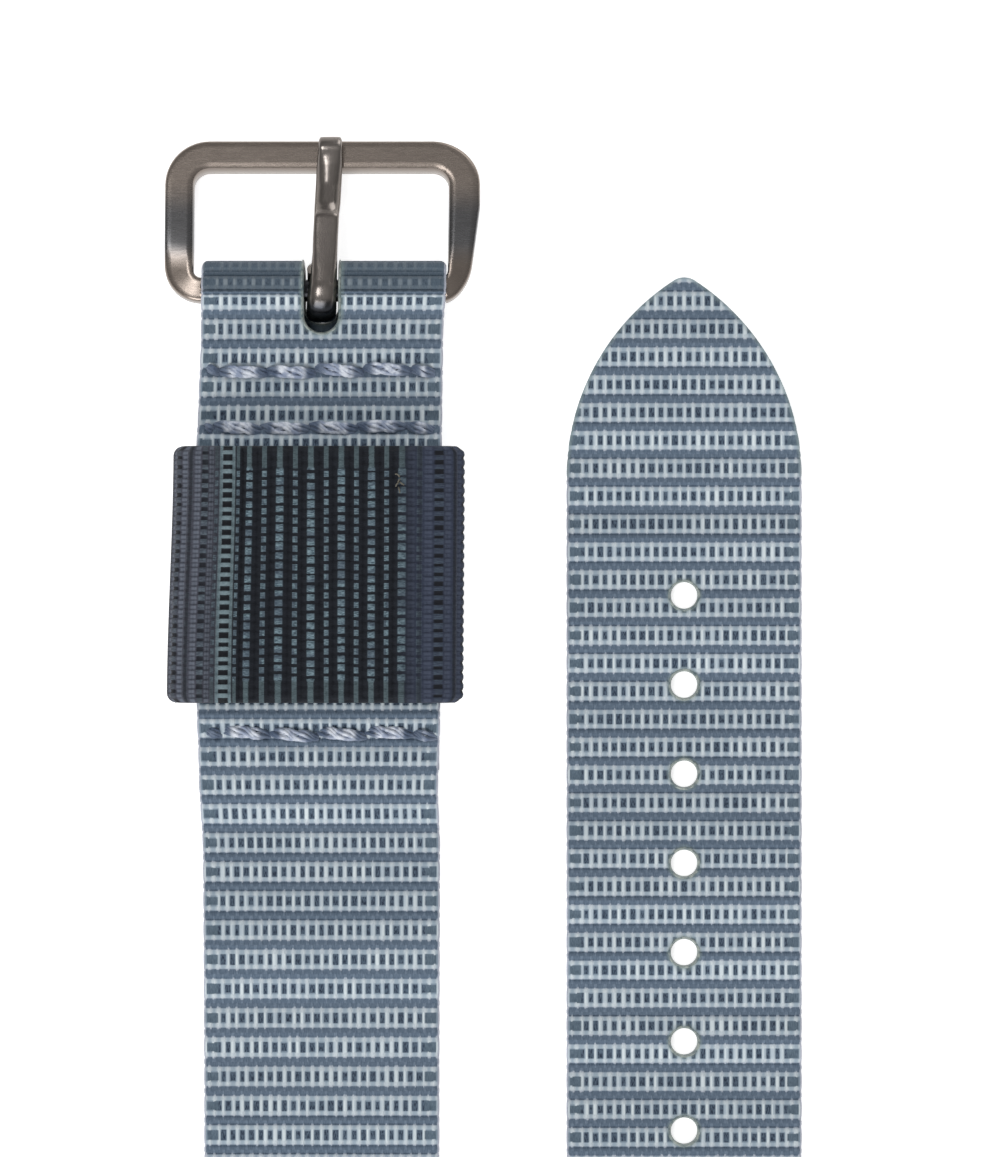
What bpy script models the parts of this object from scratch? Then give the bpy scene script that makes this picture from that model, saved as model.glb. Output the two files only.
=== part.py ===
"""A single pass watch strap in metres, +Z up, lying on the plane z = 0.

One webbing ribbon is folded round a buckle's bar and sewn with three rows of thread. A dark
webbing keeper passes between the ribbon's two layers. The buckle end and the holed tail lie flat,
side by side, and the middle of the ribbon stands on its edge in a half-circle bend.
The buckle points along +Y, and the right-hand run is the tail.
"""

import math

import bmesh
import bpy
from mathutils import Matrix, Vector

# The webbing ribbon: its section, and the lengths of its stretches
WEBBING_WIDTH = 0.0180
WEBBING_THICKNESS = 0.0012
FLAT_RUN_LENGTH = 0.0665
TWIST_LENGTH = 0.0440
RUN_GAP = 0.0068
TIP_ABOVE_BAR = 0.0011
TIP_NOSE_RADIUS = 0.0015
LAYER_GAP = 0.00015
SETTLE_LENGTH = 0.0082
STEEPNESS_STEP_SHARE = 0.1

# The size holes, which a lug pin or the tongue uses
SIZE_HOLE_COUNT = 9
SIZE_HOLE_DIAMETER = 0.0020
SIZE_HOLE_SPACING = 0.00682
SIZE_HOLE_FROM_TIP = 0.0243

# The sewing thread and its three rows
THREAD_DIAMETER = 0.0005
THREAD_GAP = 0.0001
THREAD_LEG_GAP = 0.0001
THREAD_TURN_RADIUS = 0.0004
THREAD_EDGE_INSET = 0.00015
STITCH_COUNT = 5
STITCH_MARGIN = 0.0017
STITCH_SHIFT = 0.00045
STITCH_HOLE_CLEARANCE = 0.0001
STITCH_ROW_BELOW_BAR = 0.0064
STITCH_ROW_SPACING = 0.0042
ROW_SHIFT_SHARES = (0.0, -0.1, 0.05)
ROW_TO_KEEPER = 0.0015
POCKET_TO_ROW = 0.0015
ROW_TO_BACK_END = 0.0028
POCKET_EASE_LENGTH = 0.0026

# The keeper loop, a piece of wider webbing turned a quarter turn
KEEPER_WIDTH = 0.0190
KEEPER_THICKNESS = 0.0012
KEEPER_GAP = 0.0001
KEEPER_SIDE_CLEARANCE = 0.00115
KEEPER_TAIL_CLEARANCE = 0.00025
KEEPER_SLIDE = 0.0010

# The buckle's frame: a closed ring with its bar inside the fold
BAR_RADIUS = 0.00085
FOLD_CLEARANCE = 0.0003
FRAME_REACH = 0.01135
FRAME_LEG_WIDTH = 0.0022
FRAME_THICKNESS = 0.0019
FRAME_SIDE_CLEARANCE = 0.0007
FRAME_TOP_CORNER = 0.0034
FRAME_LOW_CORNER = 0.0028
FRAME_END_MARGIN = 0.00005
FRAME_END_CLEARANCE = 0.0001
FRAME_WINDOW_BEVEL = 0.00045
FRAME_EDGE_BEVEL = 0.00015
BAR_EMBED = 0.0004

# The buckle's tongue, curled round the bar
TONGUE_REACH = 0.0115
TONGUE_THICKNESS = 0.0012
TONGUE_BASE_WIDTH = 0.0023
TONGUE_STEM_WIDTH = 0.0019
TONGUE_TIP_WIDTH = 0.0020
TONGUE_BORE_CLEARANCE = 0.00015
TONGUE_REST_GAP = 0.0001
TONGUE_NECK_DEPTH = 0.0003
TONGUE_TIP_ROUND = 0.0004
TONGUE_SEAM_GAP = 0.0005
TONGUE_LEAN_DEGREES = 2.6
SLOT_SIDE_CLEARANCE = 0.00025
SLOT_BELOW_BAR = 0.0032

# Places along the tongue, as shares of its reach from the bar
TONGUE_SHOULDER_SHARE = 0.15
TONGUE_NECK_START_SHARE = 0.48
TONGUE_NECK_END_SHARE = 0.90

# How far every cutter runs past what it cuts
CUTTER_OVERRUN = 0.0010

# Mesh fineness
RIBBON_COLUMNS = 6
CURVE_STEPS = 8
HOLE_SIDES = 24
WELD_DISTANCE = 0.000001
FLAT_ANGLE = math.radians(0.5)
SMOOTH_ANGLE = math.radians(35)

RIGHT = Vector((1, 0, 0))
ALONG = Vector((0, 1, 0))
UP = Vector((0, 0, 1))

# Half sizes, the needle holes' spacing, and levels of the folded end from the ground up
THREAD_RADIUS = THREAD_DIAMETER / 2
HALF_WIDTH = WEBBING_WIDTH / 2
HALF_THICKNESS = WEBBING_THICKNESS / 2
STITCH_PITCH = (WEBBING_WIDTH - 2 * STITCH_MARGIN) / (STITCH_COUNT - 1)
BACK_LEVEL = THREAD_DIAMETER + THREAD_GAP + HALF_THICKNESS
FOLD_RADIUS = BAR_RADIUS + FOLD_CLEARANCE + HALF_THICKNESS
BAR_LEVEL = BACK_LEVEL + FOLD_RADIUS
STACKED_HEIGHT = WEBBING_THICKNESS + LAYER_GAP
POCKET_HEIGHT = WEBBING_THICKNESS + KEEPER_THICKNESS + 2 * KEEPER_GAP
TABLE_HEIGHT = HALF_THICKNESS - BACK_LEVEL

# Distances down from the bar along the folded end
STITCH_ROW_BELOW = [STITCH_ROW_BELOW_BAR, STITCH_ROW_BELOW_BAR + STITCH_ROW_SPACING]
KEEPER_START = STITCH_ROW_BELOW[1] + ROW_TO_KEEPER
KEEPER_END = KEEPER_START + KEEPER_WIDTH
POCKET_START = KEEPER_START - KEEPER_GAP
POCKET_END = KEEPER_END + KEEPER_SLIDE + KEEPER_GAP
STITCH_ROW_BELOW.append(POCKET_END + POCKET_TO_ROW)
BACK_LENGTH = STITCH_ROW_BELOW[2] + ROW_TO_BACK_END

# The frame's outline, from the bar's centre
FRAME_WINDOW_HALF = HALF_WIDTH + FRAME_SIDE_CLEARANCE
FRAME_HALF_WIDTH = FRAME_WINDOW_HALF + FRAME_LEG_WIDTH
FRAME_HALF_THICKNESS = FRAME_THICKNESS / 2
FRAME_END_HALF = BAR_RADIUS + FRAME_END_MARGIN
FRAME_END_X = HALF_WIDTH + FRAME_END_CLEARANCE
FRAME_TILT = math.asin(BAR_LEVEL / math.hypot(FRAME_REACH, FRAME_HALF_THICKNESS)) - math.atan2(
    FRAME_HALF_THICKNESS, FRAME_REACH
)

# The tongue's section, from the bar's centre
TONGUE_BORE_RADIUS = BAR_RADIUS + TONGUE_BORE_CLEARANCE
TONGUE_OUTER_RADIUS = TONGUE_BORE_RADIUS + TONGUE_THICKNESS
TONGUE_UNDERSIDE = FRAME_HALF_THICKNESS + TONGUE_REST_GAP
TONGUE_LEAN = math.radians(TONGUE_LEAN_DEGREES)
SLOT_HALF_WIDTH = TONGUE_BASE_WIDTH / 2 + SLOT_SIDE_CLEARANCE

# The bend of the standing middle, and where the two runs lie about the origin
RUN_SPACING = FRAME_HALF_WIDTH + RUN_GAP + HALF_WIDTH
BEND_RADIUS = RUN_SPACING / 2
LEFT_RUN_X = -(RUN_SPACING + HALF_WIDTH - FRAME_HALF_WIDTH) / 2
RIGHT_RUN_X = LEFT_RUN_X + RUN_SPACING
BEND_BELOW_BAR = FLAT_RUN_LENGTH + TWIST_LENGTH
DEPTH_BELOW_BAR = BEND_BELOW_BAR + BEND_RADIUS + HALF_THICKNESS
REACH_ABOVE_BAR = TONGUE_REACH * math.cos(FRAME_TILT) + TONGUE_UNDERSIDE * math.sin(FRAME_TILT)
BAR_Y = (DEPTH_BELOW_BAR - REACH_ABOVE_BAR) / 2
BAR = Vector((LEFT_RUN_X, BAR_Y, BAR_LEVEL))

# Lengths along the ribbon from the cut end of its back layer
AT_BAR = BACK_LENGTH
FOLD_END = AT_BAR + math.pi * FOLD_RADIUS
TWIST_START = FOLD_END + FLAT_RUN_LENGTH
BEND_START = TWIST_START + TWIST_LENGTH
BEND_END = BEND_START + math.pi * BEND_RADIUS
TAIL_START = BEND_END + TWIST_LENGTH
TIP = TAIL_START + FLAT_RUN_LENGTH + TIP_ABOVE_BAR

# The pointed tip: two arcs struck from opposite edges, closed by a small round nose
TIP_ARC_RADIUS = WEBBING_WIDTH
TIP_ARC_INSET = TIP_ARC_RADIUS - HALF_WIDTH
TIP_NOSE_RISE = math.sqrt((TIP_ARC_RADIUS - TIP_NOSE_RADIUS) ** 2 - TIP_ARC_INSET**2)
TIP_NOSE_ANGLE = math.atan2(TIP_NOSE_RISE, TIP_ARC_INSET)
TIP_LENGTH = TIP_NOSE_RISE + TIP_NOSE_RADIUS

# The front layer's middle over the back layer's, at distances down from the bar
FRONT_PROFILE = [
    (0.0, 2 * FOLD_RADIUS),
    (STITCH_ROW_BELOW[0], STACKED_HEIGHT),
    (POCKET_START - POCKET_EASE_LENGTH, STACKED_HEIGHT),
    (POCKET_START, POCKET_HEIGHT),
    (POCKET_END, POCKET_HEIGHT),
    (POCKET_END + POCKET_EASE_LENGTH, STACKED_HEIGHT),
    (BACK_LENGTH, STACKED_HEIGHT),
    (BACK_LENGTH + SETTLE_LENGTH, TABLE_HEIGHT),
    (FLAT_RUN_LENGTH, TABLE_HEIGHT),
]


def ease(t):
    """A smooth step from 0 to 1."""
    t = min(max(t, 0), 1)
    return t * t * (3 - 2 * t)


def front_height(below):
    """Height of the front layer's middle over the back layer's, at a distance down from the bar."""
    for (start, low), (end, high) in zip(FRONT_PROFILE, FRONT_PROFILE[1:]):
        if below <= end:
            return low + (high - low) * ease((below - start) / (end - start))
    return TABLE_HEIGHT


def front_steepness(below):
    """How much more the front layer takes up of the height where it slopes than where it lies level."""
    step = WEBBING_THICKNESS * STEEPNESS_STEP_SHARE
    rise = front_height(below + step) - front_height(below - step)
    return math.hypot(rise, 2 * step) / (2 * step)


def ribbon(length):
    """The ribbon's middle line, its direction across and its outward direction, at a length along it."""
    if length <= AT_BAR:
        below = AT_BAR - length
        return Vector((LEFT_RUN_X, BAR_Y - below, BACK_LEVEL)), RIGHT, -UP
    if length <= FOLD_END:
        angle = (length - AT_BAR) / FOLD_RADIUS
        outward = ALONG * math.sin(angle) - UP * math.cos(angle)
        return BAR + outward * FOLD_RADIUS, RIGHT, outward
    if length <= TWIST_START:
        below = length - FOLD_END
        level = BACK_LEVEL + front_height(below)
        return Vector((LEFT_RUN_X, BAR_Y - below, level)), RIGHT, UP
    if length <= BEND_START:
        turn = math.pi / 2 * ease((length - TWIST_START) / TWIST_LENGTH)
        return twisted(LEFT_RUN_X, BAR_Y - (length - FOLD_END), turn, 1)
    if length <= BEND_END:
        angle = (length - BEND_START) / BEND_RADIUS
        outward = Vector((-math.cos(angle), -math.sin(angle), 0))
        centre = Vector((LEFT_RUN_X + BEND_RADIUS, BAR_Y - BEND_BELOW_BAR, HALF_WIDTH))
        return centre + outward * BEND_RADIUS, UP, outward
    turn = math.pi / 2 * (1 - ease((length - BEND_END) / TWIST_LENGTH))
    return twisted(RIGHT_RUN_X, BAR_Y - BEND_BELOW_BAR + length - BEND_END, turn, -1)


def twisted(x, y, turn, side):
    """The ribbon turned about its length with its lower edge on the ground; side 1 is the left run."""
    level = HALF_WIDTH * math.sin(turn) + HALF_THICKNESS * math.cos(turn)
    across = RIGHT * side * math.cos(turn) + UP * math.sin(turn)
    outward = -RIGHT * side * math.sin(turn) + UP * math.cos(turn)
    return Vector((x, y, level)), across, outward


def half_width_at(length):
    """Half of the ribbon's width, which narrows over the pointed tip."""
    rise = length - (TIP - TIP_LENGTH)
    if rise <= 0:
        return HALF_WIDTH
    if rise <= TIP_ARC_RADIUS * math.sin(TIP_NOSE_ANGLE):
        return math.sqrt(TIP_ARC_RADIUS**2 - rise**2) - TIP_ARC_INSET
    return math.sqrt(max(0, TIP_NOSE_RADIUS**2 - (rise - TIP_NOSE_RISE) ** 2))


def ribbon_rows():
    """Lengths along the ribbon at which its mesh has a row, closer together where it curves."""
    rows = [0.0]

    def run_to(end, count):
        start = rows[-1]
        rows.extend(start + (end - start) * (i + 1) / count for i in range(count))

    run_to(AT_BAR, 4)
    run_to(FOLD_END, CURVE_STEPS + 2)
    for (_, low), (end, high) in zip(FRONT_PROFILE, FRONT_PROFILE[1:]):
        run_to(FOLD_END + end, 2 if low == high else CURVE_STEPS - 2)
    run_to(BEND_START, 2 * CURVE_STEPS)
    run_to(BEND_END, 3 * CURVE_STEPS)
    run_to(TAIL_START, 2 * CURVE_STEPS)
    tip_base = TIP - TIP_LENGTH
    run_to(tip_base, 4)
    for step in range(CURVE_STEPS + 1):
        angle = TIP_NOSE_ANGLE * (step + 1) / (CURVE_STEPS + 1)
        rows.append(tip_base + TIP_ARC_RADIUS * math.sin(angle))
    nose_steps = CURVE_STEPS // 2
    for step in range(nose_steps):
        angle = TIP_NOSE_ANGLE + (math.pi / 2 - TIP_NOSE_ANGLE) * (step + 1) / nose_steps
        rows.append(tip_base + TIP_NOSE_RISE + TIP_NOSE_RADIUS * math.sin(angle))
    return rows


def remove_everything():
    for item in list(bpy.data.objects):
        bpy.data.objects.remove(item, do_unlink=True)


def new_collection(name):
    collection = bpy.data.collections.new(name)
    bpy.context.scene.collection.children.link(collection)
    return collection


def new_material(name, colour, roughness, metallic=0.0):
    material = bpy.data.materials.new(name)
    material.use_nodes = True
    shader = material.node_tree.nodes["Principled BSDF"]
    shader.inputs["Base Color"].default_value = (*colour, 1.0)
    shader.inputs["Roughness"].default_value = roughness
    shader.inputs["Metallic"].default_value = metallic
    return material


def object_from_bmesh(name, bm, collection):
    bmesh.ops.recalc_face_normals(bm, faces=bm.faces)
    mesh = bpy.data.meshes.new(name)
    bm.to_mesh(mesh)
    bm.free()
    item = bpy.data.objects.new(name, mesh)
    collection.objects.link(item)
    return item


def bmesh_from_curve(curve_object):
    """The curve's evaluated mesh with its caps welded on; the curve itself is removed."""
    depsgraph = bpy.context.evaluated_depsgraph_get()
    mesh = bpy.data.meshes.new_from_object(curve_object.evaluated_get(depsgraph))
    bm = bmesh.new()
    bm.from_mesh(mesh)
    bmesh.ops.remove_doubles(bm, verts=bm.verts, dist=WELD_DISTANCE)
    bpy.data.meshes.remove(mesh)
    bpy.data.objects.remove(curve_object, do_unlink=True)
    return bm


def new_curve(name, points, collection, cyclic=False, dimensions="3D"):
    curve = bpy.data.curves.new(name, "CURVE")
    curve.dimensions = dimensions
    spline = curve.splines.new("POLY")
    spline.points.add(len(points) - 1)
    for target, point in zip(spline.points, points):
        target.co = (*point, 1.0)
    spline.use_cyclic_u = cyclic
    item = bpy.data.objects.new(name, curve)
    collection.objects.link(item)
    return item


def plate(name, outline, half_thickness, collection):
    """A flat outline in X and Y, thickened both ways along Z, with one face on each side."""
    item = new_curve(name, [(x, y, 0) for x, y in outline], collection, True, "2D")
    item.data.fill_mode = "BOTH"
    item.data.extrude = half_thickness
    bm = bmesh_from_curve(item)
    bmesh.ops.dissolve_limit(bm, angle_limit=FLAT_ANGLE, verts=bm.verts, edges=bm.edges)
    return bm


def smooth(item):
    item.data.shade_smooth()
    item.data.set_sharp_from_angle(angle=SMOOTH_ANGLE)


def arc(centre, radius, start, end, steps):
    """Points of an arc in a plane, its angles in degrees."""
    points = []
    for step in range(steps + 1):
        angle = math.radians(start + (end - start) * step / steps)
        points.append((centre[0] + radius * math.cos(angle), centre[1] + radius * math.sin(angle)))
    return points


def subtract(item, cutter):
    cut = item.modifiers.new("cut " + cutter.name, "BOOLEAN")
    cut.operation = "DIFFERENCE"
    cut.solver = "EXACT"
    cut.object = cutter


def hide_cutter(cutter):
    cutter.hide_render = True
    cutter.display_type = "WIRE"


def add_peg(bm, radius, height, sides, matrix, stretch_x=0.0, stretch_y=0.0):
    """A round peg, or one drawn out into a rounded slot by half its extra length each way."""
    made = bmesh.ops.create_cone(
        bm, cap_ends=True, segments=sides, radius1=radius, radius2=radius, depth=height
    )
    for vertex in made["verts"]:
        vertex.co.x += math.copysign(stretch_x, vertex.co.x)
        vertex.co.y += math.copysign(stretch_y, vertex.co.y)
    bmesh.ops.transform(bm, matrix=matrix, verts=made["verts"])


def stitch_places(row):
    """Distances across the strap of one row's needle holes, from the strap's middle."""
    middle = (STITCH_COUNT - 1) / 2
    shift = ROW_SHIFT_SHARES[row] * STITCH_PITCH - STITCH_SHIFT
    return [(index - middle) * STITCH_PITCH + shift for index in range(STITCH_COUNT)]


def make_size_hole_cutter(collection):
    bm = bmesh.new()
    for index in range(SIZE_HOLE_COUNT):
        length = TIP - SIZE_HOLE_FROM_TIP - index * SIZE_HOLE_SPACING
        middle, across, outward = ribbon(length)
        turn = Matrix((across, outward.cross(across), outward)).transposed().to_4x4()
        height = WEBBING_THICKNESS + 2 * CUTTER_OVERRUN
        place = Matrix.Translation(middle) @ turn
        add_peg(bm, SIZE_HOLE_DIAMETER / 2, height, HOLE_SIDES, place)
    cutter = object_from_bmesh("size_hole_cutter", bm, collection)
    hide_cutter(cutter)
    return cutter


def make_stitch_hole_cutter(collection):
    bm = bmesh.new()
    height = BACK_LEVEL + POCKET_HEIGHT + WEBBING_THICKNESS + 2 * CUTTER_OVERRUN
    radius = THREAD_RADIUS + STITCH_HOLE_CLEARANCE
    stretch = THREAD_RADIUS + THREAD_LEG_GAP
    for row, below in enumerate(STITCH_ROW_BELOW):
        for place in stitch_places(row):
            middle = Vector((LEFT_RUN_X + place, BAR_Y - below, height / 2 - CUTTER_OVERRUN))
            add_peg(bm, radius, height, HOLE_SIDES // 2, Matrix.Translation(middle), stretch)
    cutter = object_from_bmesh("stitch_hole_cutter", bm, collection)
    hide_cutter(cutter)
    return cutter


def make_tongue_slot_cutter(collection):
    """A slot through both layers and right round the fold, with round lower ends."""
    top = FOLD_RADIUS + HALF_THICKNESS + CUTTER_OVERRUN + SLOT_HALF_WIDTH
    height = 2 * (FOLD_RADIUS + HALF_THICKNESS + CUTTER_OVERRUN)
    stretch = (top + SLOT_BELOW_BAR) / 2 - SLOT_HALF_WIDTH
    middle = BAR + ALONG * (top - SLOT_BELOW_BAR) / 2
    bm = bmesh.new()
    place = Matrix.Translation(middle)
    add_peg(bm, SLOT_HALF_WIDTH, height, HOLE_SIDES, place, stretch_y=stretch)
    cutter = object_from_bmesh("tongue_slot_cutter", bm, collection)
    hide_cutter(cutter)
    return cutter


def make_webbing(collection, cutters):
    rows = ribbon_rows()
    last = len(rows) - 1
    bm = bmesh.new()
    bmesh.ops.create_grid(bm, x_segments=RIBBON_COLUMNS, y_segments=last, size=1)
    for vertex in bm.verts:
        length = rows[round((vertex.co.y + 1) / 2 * last)]
        middle, across, _ = ribbon(length)
        vertex.co = middle + across * vertex.co.x * half_width_at(length)
    bmesh.ops.remove_doubles(bm, verts=bm.verts, dist=WELD_DISTANCE)
    webbing = object_from_bmesh("strap_webbing", bm, collection)
    thicken = webbing.modifiers.new("thickness", "SOLIDIFY")
    thicken.thickness = WEBBING_THICKNESS
    thicken.offset = 0
    subtract(webbing, make_tongue_slot_cutter(cutters))
    subtract(webbing, make_stitch_hole_cutter(cutters))
    subtract(webbing, make_size_hole_cutter(cutters))
    smooth(webbing)
    webbing.data.materials.append(new_material("blue_grey_webbing", (0.22, 0.26, 0.31), 0.85))
    return webbing


def make_keeper(collection):
    """A racetrack loop, its back between the strap's layers and its front clear over a tail."""
    back = BACK_LEVEL + HALF_THICKNESS + KEEPER_GAP + KEEPER_THICKNESS / 2
    strap_top = BACK_LEVEL + POCKET_HEIGHT + HALF_THICKNESS
    tail_space = WEBBING_THICKNESS + 2 * KEEPER_TAIL_CLEARANCE
    front = strap_top + tail_space + KEEPER_THICKNESS / 2
    radius = (front - back) / 2
    straight = HALF_WIDTH + KEEPER_SIDE_CLEARANCE + KEEPER_THICKNESS / 2 - radius
    section = arc((straight, 0), radius, -90, 90, 2 * CURVE_STEPS)
    section += arc((-straight, 0), radius, 90, 270, 2 * CURVE_STEPS)
    bm = bmesh.new()
    ends = []
    for y in (-KEEPER_WIDTH / 2, KEEPER_WIDTH / 2):
        ring = [bm.verts.new((x, y, z)) for x, z in section]
        ends += [bm.edges.new((ring[i - 1], ring[i])) for i in range(len(ring))]
    bmesh.ops.bridge_loops(bm, edges=ends)
    keeper = object_from_bmesh("keeper_webbing", bm, collection)
    keeper.location = (LEFT_RUN_X, BAR_Y - (KEEPER_START + KEEPER_END) / 2, (back + front) / 2)
    thicken = keeper.modifiers.new("thickness", "SOLIDIFY")
    thicken.thickness = KEEPER_THICKNESS
    thicken.offset = 0
    smooth(keeper)
    keeper.data.materials.append(new_material("navy_webbing", (0.03, 0.035, 0.05), 0.85))
    return keeper


def frame_outline():
    """The flat ring's outline in X and Y from the bar's centre, open where the bar runs."""
    inner = FRAME_TOP_CORNER - FRAME_LEG_WIDTH
    nook = FRAME_WINDOW_HALF - FRAME_END_X
    low_y = FRAME_LOW_CORNER - FRAME_END_HALF
    low_x = FRAME_HALF_WIDTH - FRAME_LOW_CORNER
    top_y = FRAME_REACH - FRAME_TOP_CORNER
    top_x = FRAME_HALF_WIDTH - FRAME_TOP_CORNER
    window_y = FRAME_REACH - FRAME_LEG_WIDTH - inner
    window_x = FRAME_WINDOW_HALF - inner
    half = [(FRAME_END_X, -FRAME_END_HALF)]
    half += arc((low_x, low_y), FRAME_LOW_CORNER, -90, 0, CURVE_STEPS)
    half += arc((top_x, top_y), FRAME_TOP_CORNER, 0, 90, CURVE_STEPS)
    back = arc((window_x, window_y), inner, 90, 0, CURVE_STEPS // 2)
    back += arc((FRAME_END_X, FRAME_END_HALF + nook), nook, 0, -90, CURVE_STEPS // 2)
    outer = half + [(-x, y) for x, y in reversed(half)]
    window = [(-x, y) for x, y in reversed(back)] + back
    return outer + window


def make_frame(collection, cutters):
    bm = plate("ring", frame_outline(), FRAME_HALF_THICKNESS, cutters)
    window_top = FRAME_REACH - FRAME_LEG_WIDTH + WELD_DISTANCE
    window_side = FRAME_WINDOW_HALF + WELD_DISTANCE
    window_edges = []
    rim_edges = []
    for edge in bm.edges:
        first, second = (vertex.co for vertex in edge.verts)
        middle = (first + second) / 2
        if abs(first.z - second.z) > WELD_DISTANCE:
            continue
        in_window = abs(middle.x) < window_side and FRAME_END_HALF < middle.y < window_top
        if in_window and middle.z > 0:
            window_edges.append(edge)
        elif abs(middle.x) > FRAME_END_X + WELD_DISTANCE or middle.y > window_top:
            rim_edges.append(edge)
    bmesh.ops.bevel(
        bm, geom=window_edges, offset=FRAME_WINDOW_BEVEL, segments=2, profile=0.5, affect="EDGES"
    )
    rim_edges = [edge for edge in rim_edges if edge.is_valid]
    bmesh.ops.bevel(
        bm, geom=rim_edges, offset=FRAME_EDGE_BEVEL, segments=1, profile=0.5, affect="EDGES"
    )
    frame = object_from_bmesh("buckle_frame", bm, collection)

    bar_half = FRAME_END_X + BAR_EMBED
    bm = bmesh.new()
    lie_along_x = Matrix.Rotation(math.pi / 2, 4, "Y")
    add_peg(bm, BAR_RADIUS, 2 * bar_half, HOLE_SIDES, lie_along_x)
    bar = object_from_bmesh("bar_shape", bm, cutters)
    hide_cutter(bar)
    join = frame.modifiers.new("join bar", "BOOLEAN")
    join.operation = "UNION"
    join.solver = "EXACT"
    join.object = bar
    smooth(frame)
    frame.data.materials.append(new_material("brushed_nickel", (0.52, 0.49, 0.46), 0.3, 1.0))
    hang_on_bar(frame)
    hang_on_bar(bar)
    return frame


def tongue_outline():
    """The tongue's side outline: distance from the bar along the stem, and height over it."""
    neck_start = TONGUE_REACH * TONGUE_NECK_START_SHARE
    neck_end = TONGUE_REACH * TONGUE_NECK_END_SHARE
    outline = [(TONGUE_REACH * TONGUE_SHOULDER_SHARE, TONGUE_OUTER_RADIUS)]
    for step in range(CURVE_STEPS + 1):
        share = step / CURVE_STEPS
        dip = TONGUE_NECK_DEPTH * (1 - (2 * share - 1) ** 2)
        outline.append((neck_start + (neck_end - neck_start) * share, TONGUE_OUTER_RADIUS - dip))
    tip = TONGUE_REACH - TONGUE_TIP_ROUND
    top_centre = (tip, TONGUE_OUTER_RADIUS - TONGUE_TIP_ROUND)
    low_centre = (tip, TONGUE_UNDERSIDE + TONGUE_TIP_ROUND)
    outline += arc(top_centre, TONGUE_TIP_ROUND, 90, 0, CURVE_STEPS // 2)
    outline += arc(low_centre, TONGUE_TIP_ROUND, 0, -90, CURVE_STEPS // 2)
    outline.append((TONGUE_OUTER_RADIUS, TONGUE_UNDERSIDE))

    # The curl ends just short of the stem's underside, which leaves the seam open
    seam_level = TONGUE_UNDERSIDE - TONGUE_SEAM_GAP
    inner_end = math.degrees(math.asin(seam_level / TONGUE_BORE_RADIUS))
    outer_end = math.degrees(math.asin(seam_level / TONGUE_OUTER_RADIUS))
    outline += arc((0, 0), TONGUE_BORE_RADIUS, 90, 360 + inner_end, 3 * CURVE_STEPS)
    outline += arc((0, 0), TONGUE_OUTER_RADIUS, 360 + outer_end, 90, 3 * CURVE_STEPS)
    return outline


def tongue_half_width(distance):
    """Half of the tongue's width, at a distance from the bar along the stem."""
    shoulder = TONGUE_REACH * TONGUE_SHOULDER_SHARE
    neck_start = TONGUE_REACH * TONGUE_NECK_START_SHARE
    neck_end = TONGUE_REACH * TONGUE_NECK_END_SHARE
    if distance <= neck_start:
        share = ease((distance - shoulder) / (neck_start - shoulder))
        return (TONGUE_BASE_WIDTH + (TONGUE_STEM_WIDTH - TONGUE_BASE_WIDTH) * share) / 2
    share = ease((distance - neck_start) / (neck_end - neck_start))
    return (TONGUE_STEM_WIDTH + (TONGUE_TIP_WIDTH - TONGUE_STEM_WIDTH) * share) / 2


def make_tongue(collection, cutters):
    bm = plate("side", tongue_outline(), TONGUE_BASE_WIDTH / 2, cutters)
    for vertex in bm.verts:
        distance, height, side = vertex.co
        across = math.copysign(tongue_half_width(distance), side)
        vertex.co = (across, distance, height)
    tongue = object_from_bmesh("buckle_tongue", bm, collection)
    tongue.data.transform(Matrix.Rotation(-TONGUE_LEAN, 4, "Z"))
    smooth(tongue)
    tongue.data.materials.append(new_material("satin_nickel", (0.5, 0.47, 0.45), 0.32, 1.0))
    hang_on_bar(tongue)
    return tongue


def hang_on_bar(item):
    """Put the piece's origin on the bar's axis and let it down until the frame meets the ground."""
    item.location = BAR
    item.rotation_euler = (-FRAME_TILT, 0, 0)


def thread_path(places, float_level, meeting, side):
    """One thread of a row in X and Z: along a face of the strap, and a loop down each needle hole.

    side is 1 for the needle thread on top and -1 for the bobbin thread beneath.
    """
    loop_radius = THREAD_RADIUS + THREAD_LEG_GAP / 2
    bottom = meeting + side * (THREAD_RADIUS + THREAD_GAP / 2 + loop_radius)
    reach = HALF_WIDTH - THREAD_EDGE_INSET
    points = [(-reach, float_level)]
    turn = THREAD_TURN_RADIUS
    for place in places:
        left = place - loop_radius
        right = place + loop_radius
        centre_level = float_level - side * turn
        points += arc((left - turn, centre_level), turn, 90 * side, 0, 2)
        points += arc((place, bottom), loop_radius, 180, 180 + 180 * side, 4)
        points += arc((right + turn, centre_level), turn, 180, 180 - 90 * side, 2)
    points.append((reach, float_level))
    return points


def make_thread(name, row, side, material, collection):
    below = STITCH_ROW_BELOW[row]
    front = BACK_LEVEL + front_height(below)
    lift = HALF_THICKNESS + THREAD_GAP + THREAD_RADIUS
    float_level = front + lift * front_steepness(below) if side > 0 else BACK_LEVEL - lift
    path = thread_path(stitch_places(row), float_level, (front + BACK_LEVEL) / 2, side)
    thread = new_curve(name, [(x, 0, z) for x, z in path], collection)
    thread.data.bevel_depth = THREAD_RADIUS
    thread.data.bevel_resolution = 1
    thread.data.use_fill_caps = True
    thread.location = (LEFT_RUN_X, BAR_Y - below, 0)
    thread.data.materials.append(material)
    return thread


def make_threads(collection):
    material = new_material("grey_thread", (0.2, 0.25, 0.31), 0.7)
    for row in range(len(STITCH_ROW_BELOW)):
        make_thread(f"needle_thread_row_{row + 1}", row, 1, material, collection)
        make_thread(f"bobbin_thread_row_{row + 1}", row, -1, material, collection)


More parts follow.
